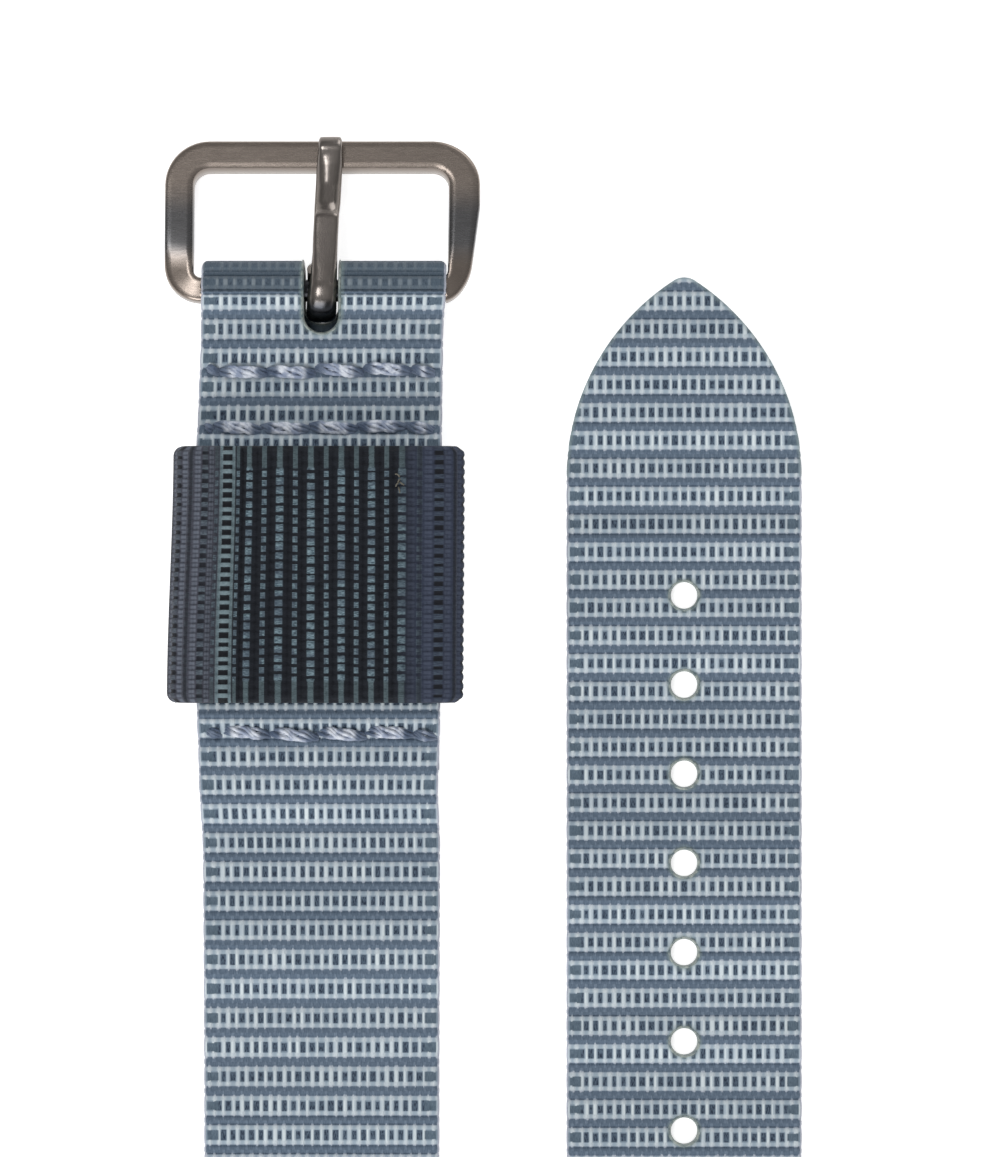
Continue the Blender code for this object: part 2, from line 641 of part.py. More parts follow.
def make_strap():
    remove_everything()
    strap = new_collection("single_pass_watch_strap")
    cutters = new_collection("cutters")
    make_webbing(strap, cutters)
    make_keeper(strap)
    make_frame(strap, cutters)
    make_tongue(strap, cutters)
    make_threads(strap)


make_strap()
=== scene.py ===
import math

import bmesh
import bpy
import numpy as np
from mathutils import Matrix, Vector


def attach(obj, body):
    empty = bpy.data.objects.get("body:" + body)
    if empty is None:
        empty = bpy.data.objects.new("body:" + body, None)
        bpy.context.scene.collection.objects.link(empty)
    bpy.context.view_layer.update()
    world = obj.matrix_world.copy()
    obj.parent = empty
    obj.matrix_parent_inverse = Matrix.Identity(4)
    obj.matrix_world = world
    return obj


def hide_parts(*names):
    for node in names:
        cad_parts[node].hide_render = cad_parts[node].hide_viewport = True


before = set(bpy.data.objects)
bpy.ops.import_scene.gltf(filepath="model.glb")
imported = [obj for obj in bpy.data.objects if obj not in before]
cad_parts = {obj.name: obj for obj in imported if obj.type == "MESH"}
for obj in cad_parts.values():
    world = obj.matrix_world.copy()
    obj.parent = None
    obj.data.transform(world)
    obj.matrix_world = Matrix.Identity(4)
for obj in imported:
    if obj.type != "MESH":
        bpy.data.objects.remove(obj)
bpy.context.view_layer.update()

# The camera. The photograph looks straight down on the strap from about half a metre, through a
# long lens, with the buckle at the upper left and the standing bend of the strap below its edge.
MM = 0.001
VIEW_CENTRE = Vector((1.226, 34.815, 1.5)) * MM
VIEW_HEIGHT = 500 * MM
view = bpy.data.cameras.new("view_from_above")
view.sensor_fit = "HORIZONTAL"
view.sensor_width = 36
view.lens = 235.8
view.clip_start = 10 * MM
camera = bpy.data.objects.new("view_from_above", view)
camera.location = VIEW_CENTRE + Vector((0, 0, VIEW_HEIGHT))
bpy.context.scene.collection.objects.link(camera)
bpy.context.scene.camera = camera
bpy.context.scene.view_settings.view_transform = "Standard"

# The table and the light. The strap lies on a white table under a pale room that is dimmer
# overhead, with one broad lamp low in front of it, a weaker one behind and a long one above.
TABLE_SIZE = 6000 * MM
TABLE_DROP = 0.03 * MM
TABLE_GLOW = 0.7
ROOM_TONES = ((0.0, 1.0), (0.36, 0.92), (0.60, 0.24), (0.84, 0.34), (1.0, 0.50))
FRONT_LAMP_WATTS = 3.95
BACK_LAMP_WATTS = 1.2
HIGH_LAMP_WATTS = 1.5


def paint(red, green, blue):
    """A colour as a screen shows it, 0 to 255, turned into the linear one that a shader takes."""
    def linear(value):
        share = value / 255
        return share / 12.92 if share <= 0.04045 else ((share + 0.055) / 1.055) ** 2.4
    return (linear(red), linear(green), linear(blue), 1)


class Nodes:
    """The nodes of one tree. Most of its functions add a node and give back its result."""

    def __init__(self, tree):
        self.tree = tree

    def new(self, kind, **settings):
        node = self.tree.nodes.new("ShaderNode" + kind)
        for name, value in settings.items():
            setattr(node, name, value)
        return node

    def put(self, value, socket):
        """Links a result to a socket, or sets the socket's constant."""
        if isinstance(value, bpy.types.NodeSocket):
            self.tree.links.new(value, socket)
        else:
            socket.default_value = value

    def fill(self, node, values):
        for name, value in values.items():
            self.put(value, node.inputs[name])

    def surface(self, values):
        """Sets or links inputs of the material's Principled shader."""
        self.fill(self.tree.nodes["Principled BSDF"], values)

    def math(self, operation, *values):
        node = self.new("Math", operation=operation)
        for value, socket in zip(values, node.inputs):
            self.put(value, socket)
        return node.outputs[0]

    def plus(self, first, second):
        return self.math("ADD", first, second)

    def less(self, first, second):
        return self.math("SUBTRACT", first, second)

    def times(self, first, second):
        return self.math("MULTIPLY", first, second)

    def larger(self, first, second):
        return self.math("MAXIMUM", first, second)

    def size(self, value):
        return self.math("ABSOLUTE", value)

    def fade(self, value, start, end, first=0.0, last=1.0):
        """first before start and last past end, smooth between."""
        if start > end:
            start, end, first, last = end, start, last, first
        node = self.new("MapRange", interpolation_type="SMOOTHSTEP")
        self.fill(node, {"Value": value, "From Min": start, "From Max": end, "To Min": first, "To Max": last})
        return node.outputs["Result"]

    def dye(self, share, under, over, blend="MIX"):
        """Two colours mixed by a share."""
        node = self.new("Mix", data_type="RGBA", blend_type=blend)
        self.fill(node, {"Factor": share, "A": under, "B": over})
        return node.outputs["Result"]

    def attribute(self, name):
        return self.new("Attribute", attribute_name=name).outputs["Fac"]

    def place(self):
        """A point's place on its object."""
        return self.new("TexCoord").outputs["Object"]

    def axes(self, vector):
        node = self.new("SeparateXYZ")
        self.put(vector, node.inputs[0])
        return node.outputs

    def noise(self, vector, scale, detail=2):
        node = self.new("TexNoise")
        self.fill(node, {"Vector": vector, "Scale": scale, "Detail": detail})
        return node.outputs["Fac"]

    def bump(self, height, distance, strength=1):
        """Fine relief on the material's surface, its distance in millimetres."""
        node = self.new("Bump")
        self.fill(node, {"Height": height, "Distance": distance * MM, "Strength": strength})
        self.surface({"Normal": node.outputs[0]})


def new_material(name):
    material = bpy.data.materials.new(name)
    material.use_nodes = True
    return material, Nodes(material.node_tree)


def mesh_from(bm, name):
    """A new mesh from a finished bmesh, which is freed."""
    mesh = bpy.data.meshes.new(name)
    bm.to_mesh(mesh)
    bm.free()
    return mesh


def show(name, content):
    """A new object in the scene."""
    item = bpy.data.objects.new(name, content)
    bpy.context.scene.collection.objects.link(item)
    return item


bm = bmesh.new()
bmesh.ops.create_grid(bm, x_segments=1, y_segments=1, size=TABLE_SIZE / 2)
bmesh.ops.translate(bm, verts=bm.verts, vec=(0, 0, -TABLE_DROP))
table_mesh = mesh_from(bm, "table")
white_table, nodes = new_material("white_table")
rays = nodes.new("LightPath").outputs
seen = nodes.larger(rays["Is Camera Ray"], rays["Is Glossy Ray"])
nodes.surface({
    "Base Color": (0.82, 0.82, 0.82, 1), "Roughness": 0.9, "Specular IOR Level": 0.1,
    "Emission Color": (1, 1, 1, 1), "Emission Strength": nodes.times(seen, TABLE_GLOW),
})
table_mesh.materials.append(white_table)
table = show("table", table_mesh)

room = bpy.data.worlds.new("pale_room")
bpy.context.scene.world = room
room.use_nodes = True
nodes = Nodes(room.node_tree)
shade = nodes.new("ValToRGB")
for place, tone in ROOM_TONES[1:-1]:
    shade.color_ramp.elements.new(place)
for stop, (place, tone) in zip(shade.color_ramp.elements, ROOM_TONES):
    stop.position = place
    stop.color = (tone, tone, tone, 1)
nodes.put(nodes.axes(nodes.new("TexCoord").outputs["Generated"])["Z"], shade.inputs["Fac"])
nodes.put(shade.outputs["Color"], room.node_tree.nodes["Background"].inputs["Color"])


def add_lamp(name, place, aim, size, watts):
    """A flat soft lamp at one point that faces another, unseen by the camera itself."""
    lamp = bpy.data.lights.new(name, "AREA")
    lamp.shape = "RECTANGLE"
    lamp.size, lamp.size_y = size
    lamp.energy = watts
    item = show(name, lamp)
    item.location = place
    item.rotation_euler = (Vector(aim) - Vector(place)).to_track_quat("-Z", "Y").to_euler()
    item.visible_camera = False


add_lamp("front_lamp", (-0.18, -0.62, 0.62), (0, 0.03, 0), (0.45, 0.45), FRONT_LAMP_WATTS)
add_lamp("back_lamp", (0.30, 0.75, 0.55), (0, 0.03, 0), (0.40, 0.40), BACK_LAMP_WATTS)
add_lamp("high_lamp", (-0.20, 0.15, 0.90), (0, 0.15, 0), (0.46, 0.14), HIGH_LAMP_WATTS)


# The strap's webbing: one flat woven nylon ribbon, folded round the buckle's bar, sewn double,
# and pointed at its tail. Heavy cross threads make its ribs. Pale yarns pass over every second
# rib, with dark slits between them, and slate ones over the ribs between.
HALF_WIDTH = 9.0
HALF_THICKNESS = 0.6
LEFT_RUN_X = -12.4
RIGHT_RUN_X = 15.3
BAR_Y = 56.723
BACK_LEVEL = 1.2
FOLD_RADIUS = 1.75
BACK_LENGTH = 36.5
FOLD_END = BACK_LENGTH + math.pi * FOLD_RADIUS
FLAT_RUN = 66.5
TWIST_LENGTH = 44.0
BEND_RADIUS = (RIGHT_RUN_X - LEFT_RUN_X) / 2
TWIST_START = FOLD_END + FLAT_RUN
BEND_START = TWIST_START + TWIST_LENGTH
BEND_END = BEND_START + math.pi * BEND_RADIUS
TAIL_START = BEND_END + TWIST_LENGTH
TIP = TAIL_START + FLAT_RUN + 1.1

# Distances below the bar, and the front layer's middle over the back layer's there
FRONT_BELOW = np.array((0, 6.4, 9.4, 12.0, 32.2, 34.8, 36.5, 44.7, 66.5))
FRONT_LIFT = np.array((3.5, 1.35, 1.35, 2.6, 2.6, 1.35, 1.35, -0.6, -0.6))


def ease(share):
    """A smooth step from 0 to 1."""
    share = np.clip(share, 0, 1)
    return share * share * (3 - 2 * share)


def front_lift(below):
    """Height of the front layer's middle over the back layer's, below the bar."""
    step = np.clip(np.searchsorted(FRONT_BELOW, below, side="right") - 1, 0, len(FRONT_BELOW) - 2)
    start, end = FRONT_BELOW[step], FRONT_BELOW[step + 1]
    share = ease((below - start) / (end - start))
    return FRONT_LIFT[step] + (FRONT_LIFT[step + 1] - FRONT_LIFT[step]) * share


def ribbon(length):
    """The ribbon's middle, its direction across and its outward one, at a length along it."""
    if length <= BACK_LENGTH:
        return (LEFT_RUN_X, BAR_Y - BACK_LENGTH + length, BACK_LEVEL), (1, 0, 0), (0, 0, -1)
    if length <= FOLD_END:
        turn = (length - BACK_LENGTH) / FOLD_RADIUS
        out = (0, math.sin(turn), -math.cos(turn))
        level = BACK_LEVEL + FOLD_RADIUS + out[2] * FOLD_RADIUS
        return (LEFT_RUN_X, BAR_Y + out[1] * FOLD_RADIUS, level), (1, 0, 0), out
    below = length - FOLD_END
    if length <= TWIST_START:
        level = BACK_LEVEL + float(front_lift(below))
        return (LEFT_RUN_X, BAR_Y - below, level), (1, 0, 0), (0, 0, 1)
    lowest = BAR_Y - FLAT_RUN - TWIST_LENGTH
    if BEND_START < length <= BEND_END:
        turn = (length - BEND_START) / BEND_RADIUS
        out = (-math.cos(turn), -math.sin(turn), 0)
        middle = (LEFT_RUN_X + BEND_RADIUS * (1 + out[0]), lowest + BEND_RADIUS * out[1], HALF_WIDTH)
        return middle, (0, 0, 1), out
    if length <= BEND_START:
        x, y, side = LEFT_RUN_X, BAR_Y - below, 1
        turn = math.pi / 2 * float(ease((length - TWIST_START) / TWIST_LENGTH))
    else:
        x, y, side = RIGHT_RUN_X, lowest + length - BEND_END, -1
        turn = math.pi / 2 * (1 - float(ease((length - BEND_END) / TWIST_LENGTH)))
    level = HALF_WIDTH * math.sin(turn) + HALF_THICKNESS * math.cos(turn)
    across = (side * math.cos(turn), 0, math.sin(turn))
    return (x, y, level), across, (-side * math.sin(turn), 0, math.cos(turn))


TRACK_AT = np.linspace(-1, TIP + 1, 6201)
TRACK = np.array([np.concatenate(ribbon(length)) for length in TRACK_AT])


def lay(places):
    """Points given across, along and out from the flat ribbon's middle, put where the strap lies."""
    track = np.stack([np.interp(places[:, 1], TRACK_AT, TRACK[:, k]) for k in range(9)], axis=1)
    return track[:, :3] + track[:, 3:6] * places[:, :1] + track[:, 6:] * places[:, 2:3]


# The weave's count of rib pairs along the ribbon. It is set by where the photograph shows a pale
# rib on each run, by the two runs' slightly different spacing, and by the ribs' crowding at the fold.
YARN_PITCH = 0.7125
LEFT_PAIR, TAIL_PAIR = 2.235, 2.130
LEFT_MARK, TAIL_MARK = FOLD_END + 37.6, TIP - 23.1
MIDDLE_PAIRS = 94
PAIR_AT = np.array((
    -5, FOLD_END - 1.66, FOLD_END - 0.43, FOLD_END + 0.8, FOLD_END + 9.5, FOLD_END + 35.46, LEFT_MARK,
    BEND_START, BEND_END, TIP + 5,
))
PAIR_COUNT = np.array((
    17 - (FOLD_END + 3.34) / LEFT_PAIR,
    17, 18, 19, 23, 35, 36,
    36 + (BEND_START - LEFT_MARK) / LEFT_PAIR,
    36 + MIDDLE_PAIRS + (BEND_END - TAIL_MARK) / TAIL_PAIR,
    36 + MIDDLE_PAIRS + (TIP + 5 - TAIL_MARK) / TAIL_PAIR,
))
# Mesh rows within one pair of ribs, from the middle of the pale rib
RIB_ROWS = (-0.375, -0.27, -0.17, -0.10, 0.10, 0.17, 0.27, 0.375, 0.44, 0.56)
VALLEY, RIB_SINK, SLIT_SINK, SLATE_SINK = 0.375, 0.17, 0.13, 0.05
EDGE_YARN = 8.62
EDGE_SLIT = 7.75
COLUMNS_PER_YARN = 6


def fade(value, start, end):
    """0 before start and 1 past end, smooth between, whichever of the two is larger."""
    return ease((value - start) / (end - start))


def yarn_places(across, pairs, pitch):
    """Each point's rib pair, distance from its pale rib, yarn, and distance from the nearest slit."""
    pair = np.floor(pairs + 0.5)
    yarn = across / pitch + 0.5 * np.mod(pair, 2)
    return pair, np.abs(pairs - pair), yarn, np.abs(yarn - np.floor(yarn) - 0.5)


def edge_share(across, half, width):
    """0 inside a webbing, rising to 1 over the given width at its two edges."""
    return np.clip((np.abs(across) - half + width) / width, 0, 1)


def weave_height(across, pairs, chance, tension):
    """How high the webbing's face stands over its middle, for the pale and the slate ribs."""
    pair, along, yarn, aside = yarn_places(across, pairs, YARN_PITCH)
    pale = np.sqrt(np.clip(np.cos(along / VALLEY * math.pi / 2), 0, 1))
    slate = np.sqrt(np.clip(np.cos((0.5 - along) / (0.5 - VALLEY) * math.pi / 2), 0, 1))
    rib = np.where(along < VALLEY, pale, slate)
    slit = np.maximum(1 - fade(aside, 0.17, 0.34), fade(np.abs(across), EDGE_SLIT, EDGE_SLIT + 0.2))
    slit = slit * (1 - fade(np.abs(across), EDGE_YARN - 0.1, EDGE_YARN + 0.05)) * (1 - fade(along, 0.11, 0.2))
    rows, columns = chance.shape
    twist = chance[np.mod(pair, rows).astype(int), np.mod(np.floor(yarn), columns).astype(int)]
    height = HALF_THICKNESS - RIB_SINK * (1 - rib) - SLIT_SINK * slit * tension
    slate_sink = SLATE_SINK + 0.05 * (1 - 2 * aside) * tension
    height -= np.where(along < VALLEY, 0.03 * twist * (1 - slit), slate_sink)
    return height * np.sqrt(1 - 0.93 * edge_share(across, HALF_WIDTH, 0.45) ** 2), rib


# The tip is cut from two arcs of the ribbon's own width, struck from its opposite edges
TIP_LENGTH, TIP_RADIUS, NOSE_RADIUS = 15.33, 18.0, 1.5
NOSE_CENTRE = TIP - NOSE_RADIUS
NOSE_TURN = math.atan2(TIP_LENGTH - NOSE_RADIUS, HALF_WIDTH)
SIZE_HOLES = [TIP - 24.3 - 6.82 * k for k in range(9)]
HOLE_CUT = 1.14
SLOT_CUT = 1.44
SLOT_START, SLOT_END = BACK_LENGTH - 1.1, FOLD_END + 1.9
SLOT_PLACE = 0.05
BACK_SLOT_NARROWING = 0.06


def slot_narrowing(along):
    """How much nearer the slot's sides stand in the back layer than in the front one."""
    return BACK_SLOT_NARROWING * fade(along, FOLD_END - 1, BACK_LENGTH + 1)


def inside_cut(across, along):
    """How far a point of the flat ribbon lies inside its cut outline; below 0 it is cut away."""
    rise = along - (TIP - TIP_LENGTH)
    inside = HALF_WIDTH
    if rise > 0:
        inside = TIP_RADIUS - math.hypot(abs(across) + HALF_WIDTH, rise)
        if rise > TIP_RADIUS * math.sin(NOSE_TURN):
            inside = NOSE_RADIUS - math.hypot(across, along - NOSE_CENTRE)
    nearest = min(SIZE_HOLES, key=lambda hole: abs(hole - along))
    inside = min(inside, math.hypot(across, along - nearest) - HOLE_CUT)
    nearest = min(max(along, SLOT_START), SLOT_END)
    slot_cut = SLOT_CUT - slot_narrowing(along)
    return min(inside, math.hypot(across - SLOT_PLACE, along - nearest) - slot_cut)


def delete_faces(bm, is_gone, context="FACES"):
    """Deletes the faces whose middles a test picks."""
    gone = [face for face in bm.faces if is_gone(face.calc_center_median())]
    bmesh.ops.delete(bm, geom=gone, context=context)


def cut_and_fit(bm):
    """Takes away the faces outside the cut outline and brings the new edge onto it."""
    delete_faces(bm, lambda middle: inside_cut(middle.x, middle.y) < 0)
    for vertex in bm.verts:
        if not vertex.is_boundary or abs(inside_cut(vertex.co.x, vertex.co.y)) > 0.4:
            continue
        for _ in range(3):
            x, y = vertex.co.x, vertex.co.y
            here = inside_cut(x, y)
            slope_x = (inside_cut(x + 0.01, y) - inside_cut(x - 0.01, y)) / 0.02
            slope_y = (inside_cut(x, y + 0.01) - inside_cut(x, y - 0.01)) / 0.02
            size = max(slope_x**2 + slope_y**2, 0.25)
            vertex.co.x -= here * slope_x / size
            vertex.co.y -= here * slope_y / size


def mesh_columns(yarns, pitch, edge):
    """Places across of a webbing's mesh columns: even over its yarns and closer at its edges."""
    inner = np.arange(-yarns * COLUMNS_PER_YARN, yarns * COLUMNS_PER_YARN + 1) * pitch / COLUMNS_PER_YARN
    return np.concatenate((-np.array(edge)[::-1], inner, edge))


def mesh_rows(start, end, steps):
    """Counts of rib pairs at which a webbing's mesh rows lie: the same steps in every pair."""
    rows = [pair + step for pair in range(math.floor(start), math.ceil(end) + 1) for step in steps]
    return [start] + [row for row in rows if start + 0.02 < row < end - 0.02] + [end]


def woven_solid(columns, rows, cut=None):
    """A flat closed strip with the given mesh columns and rows, cut to its outline."""
    bm = bmesh.new()
    bmesh.ops.create_grid(bm, x_segments=len(columns) - 1, y_segments=len(rows) - 1, size=1)
    for vertex in bm.verts:
        column = round((vertex.co.x + 1) / 2 * (len(columns) - 1))
        row = round((vertex.co.y + 1) / 2 * (len(rows) - 1))
        vertex.co = (columns[column], rows[row], 0)
    if cut:
        cut(bm)
    bmesh.ops.solidify(bm, geom=bm.faces[:], thickness=1)
    return bm


def mesh_points(mesh):
    points = np.empty(len(mesh.vertices) * 3, np.float64)
    mesh.vertices.foreach_get("co", points)
    return points.reshape(-1, 3)


def put_points(mesh, places):
    """Gives a mesh's points new places, in millimetres."""
    mesh.vertices.foreach_set("co", (places * MM).astype(np.float32).ravel())


def write_attribute(mesh, name, values):
    mesh.attributes.new(name, "FLOAT", "POINT").data.foreach_set("value", values)


def write_maps(mesh, flat, outer, weave, length_span, half):
    """The weave's own map in yarns and rib pairs, and a flat one for the whole closed strip."""
    loops = np.empty(len(mesh.loops), np.int64)
    mesh.loops.foreach_get("vertex_index", loops)
    corners = np.empty(len(mesh.polygons), np.int64)
    mesh.polygons.foreach_get("loop_total", corners)
    mean_side = np.add.reduceat(outer[loops], np.concatenate(((0,), np.cumsum(corners)[:-1])))
    side = np.repeat(mean_side / corners, corners)
    mesh.uv_layers.new(name="weave").uv.foreach_set("vector", weave[loops].ravel())
    start, end = length_span
    size = max(end - start, 4 * half + 5)
    across, out = flat[loops, 0], flat[loops, 2]
    band = np.where(side > 0.9, half + across, np.where(side < -0.9, 3 * half + 1 + across, 0))
    rim = 4 * half + 2.6 + np.where(across > 0, 1.6, 0) + out
    spread = np.stack(((flat[loops, 1] - start) / size, np.where(band > 0, band, rim) / size), axis=1)
    mesh.uv_layers.new(name="OFBake").uv.foreach_set("vector", (0.004 + 0.99 * spread).ravel())


def finish_piece(name, mesh, material, body, sharp=60):
    """A shaded object from a finished mesh, riding on its body."""
    mesh.shade_smooth()
    mesh.set_sharp_from_angle(angle=math.radians(sharp))
    mesh.materials.append(material)
    piece = show(name, mesh)
    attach(piece, body)
    return piece


# The weave's places, shared by the strap's webbing and the keeper's: how far a point lies from
# its pale rib's middle and from the slit between two yarns, and how each yarn differs
weave_group = bpy.data.node_groups.new("woven_yarns", "ShaderNodeTree")
weave_group.interface.new_socket(name="Weave", in_out="INPUT", socket_type="NodeSocketVector")
for name in ("Along", "Dash", "Aside", "Shade chance", "Rib chance", "Fibre"):
    weave_group.interface.new_socket(name=name, in_out="OUTPUT", socket_type="NodeSocketFloat")
nodes = Nodes(weave_group)
given = weave_group.nodes.new("NodeGroupInput").outputs["Weave"]
chart = nodes.axes(given)
pair = nodes.math("FLOOR", nodes.plus(chart["Y"], 0.5))
along = nodes.size(nodes.less(chart["Y"], pair))
yarn = nodes.plus(chart["X"], nodes.times(nodes.math("MODULO", pair, 2.0), 0.5))
even = nodes.size(nodes.less(nodes.math("FRACT", yarn), 0.5))
cell = nodes.new("CombineXYZ")
nodes.fill(cell, {"X": nodes.math("FLOOR", yarn), "Y": pair})
yarn_chance = nodes.new("TexWhiteNoise")
nodes.put(cell.outputs[0], yarn_chance.inputs["Vector"])
chances = nodes.new("SeparateColor")
nodes.put(yarn_chance.outputs["Color"], chances.inputs[0])
looseness = nodes.times(nodes.less(chances.outputs["Red"], 0.5), 0.13)
shortness = nodes.times(nodes.less(chances.outputs["Green"], 0.5), 0.06)
rib_chance = nodes.new("TexWhiteNoise", noise_dimensions="1D")
nodes.put(pair, rib_chance.inputs["W"])
stretch = nodes.new("VectorMath", operation="MULTIPLY")
nodes.put(given, stretch.inputs[0])
stretch.inputs[1].default_value = (9.0, 7.0, 1.0)
nodes.fill(weave_group.nodes.new("NodeGroupOutput"), {
    "Along": along,
    "Dash": nodes.plus(along, shortness),
    "Aside": nodes.plus(even, looseness),
    "Shade chance": chances.outputs["Blue"],
    "Rib chance": rib_chance.outputs["Value"],
    "Fibre": nodes.noise(stretch.outputs[0], 1, 3),
})


def woven(nodes):
    """The weave group's results in a material, and the piece's own map that they are read from."""
    chart = nodes.new("UVMap", uv_map="weave").outputs[0]
    group = nodes.new("Group", node_tree=weave_group)
    nodes.put(chart, group.inputs["Weave"])
    return group.outputs, chart


grey_blue, nodes = new_material("grey_blue_nylon_webbing")
weave, chart = woven(nodes)
along, aside, fibre, shade_chance = (weave[name] for name in ("Along", "Aside", "Fibre", "Shade chance"))
edge = nodes.attribute("edge")
rung_colour = nodes.dye(shade_chance, paint(172, 186, 197), paint(214, 224, 228))
yarn_colour = nodes.dye(nodes.fade(aside, 0.26, 0.38), paint(124, 140, 155), rung_colour)
shine = nodes.times(nodes.fade(aside, 0.05, 0.45), fibre)
band_colour = nodes.dye(shine, paint(152, 168, 181), paint(228, 234, 236))
pale_colour = nodes.dye(nodes.fade(along, 0.15, 0.22), yarn_colour, band_colour)
edge_slit = nodes.fade(edge, -1.0, -0.85)
slit = nodes.larger(nodes.fade(aside, 0.27, 0.19), edge_slit)
slit = nodes.times(slit, nodes.fade(edge, -0.02, -0.10))
slit = nodes.times(slit, nodes.fade(weave["Dash"], 0.180, 0.140))
slit_colour = nodes.dye(nodes.fade(fibre, 0.36, 0.64), paint(30, 44, 64), paint(84, 102, 120))
edge_slit_colour = nodes.dye(fibre, paint(42, 62, 80), paint(112, 130, 144))
pale_colour = nodes.dye(slit, pale_colour, nodes.dye(edge_slit, slit_colour, edge_slit_colour))
slate_tone = nodes.plus(nodes.times(fibre, 0.8), nodes.fade(aside, 0.30, 0.44, 0.0, 0.25))
slate_colour = nodes.dye(slate_tone, paint(52, 72, 92), paint(122, 138, 156))
rung_reach = nodes.times(nodes.fade(aside, 0.29, 0.36), nodes.times(shade_chance, 0.06))
band_end = nodes.fade(nodes.less(along, rung_reach), 0.305, 0.355)
band_colour = nodes.dye(nodes.fade(along, 0.28, 0.36, 0.0, 0.5), pale_colour, paint(146, 154, 172))
cloth_colour = nodes.dye(band_end, band_colour, slate_colour)
# Painted shade: by the 'fold' attribute, this darker colour goes on the webbing's outer face over the top of
# the fold, which turns away from the front lamp, and on its inner faces round the tongue's slot.
painted_shade_colour = nodes.dye(fibre, paint(44, 60, 74), paint(92, 107, 121))
cloth_colour = nodes.dye(nodes.attribute("fold"), cloth_colour, painted_shade_colour)
edge_colour = nodes.dye(fibre, paint(146, 152, 168), paint(206, 210, 222))
cloth_colour = nodes.dye(nodes.fade(edge, 0.02, 0.12), cloth_colour, edge_colour)
cloth_colour = nodes.dye(nodes.attribute("melt"), cloth_colour, paint(132, 148, 150))
rib_tone = nodes.plus(nodes.times(weave["Rib chance"], 0.20), 0.88)
nodes.bump(nodes.plus(nodes.fade(aside, 0.2, 0.5), nodes.times(fibre, 0.6)), 0.06, 0.8)
nodes.surface({
    "Base Color": nodes.dye(1.0, cloth_colour, rib_tone, "MULTIPLY"), "Roughness": 0.72,
    "Specular IOR Level": 0.35, "Sheen Weight": 0.12, "Sheen Roughness": 0.5,
})

# Needle holes pull the webbing in, so the sewn rows lie in shallow dents
STITCH_ROWS = (6.1, 10.45, 33.7)
STITCH_PITCH = 3.65
ROW_SHIFTS = (0.0, -0.1, 0.05)


def stitch_places(row):
    """Distances across the strap of one row's needle holes, from the strap's middle."""
    return [(k - 2 + ROW_SHIFTS[row]) * STITCH_PITCH - 0.45 for k in range(5)]


def sewn_dent(across, along):
    """How deep the sewn rows press the webbing, on either layer."""
    dent = np.zeros(len(across))
    for row, below in enumerate(STITCH_ROWS):
        for at in (FOLD_END + below, BACK_LENGTH - below):
            near_row = np.exp(-(((along - at) / 0.55) ** 2))
            dent += 0.10 * near_row
            for place in stitch_places(row):
                dent += 0.26 * near_row * np.exp(-(((across - place) / 0.45) ** 2))
    return dent


# How far the sewn part's left and right edges stand out from the plain ribbon's, below the bar
EDGE_BELOW = np.array((0, 3, 7, 11, 33, 38, 42, 60))
LEFT_SPREAD = np.array((0.05, 0.10, 0.30, 0.44, 0.42, 0.30, 0.10, 0.0))
RIGHT_SPREAD = np.array((0.55, 0.32, 0.26, 0.22, 0.08, -0.10, 0.05, 0.0))

chance = np.random.default_rng(11).random((97, 89))
columns = mesh_columns(12, YARN_PITCH, (8.68, 8.80, 8.90, 8.96, 9.0))

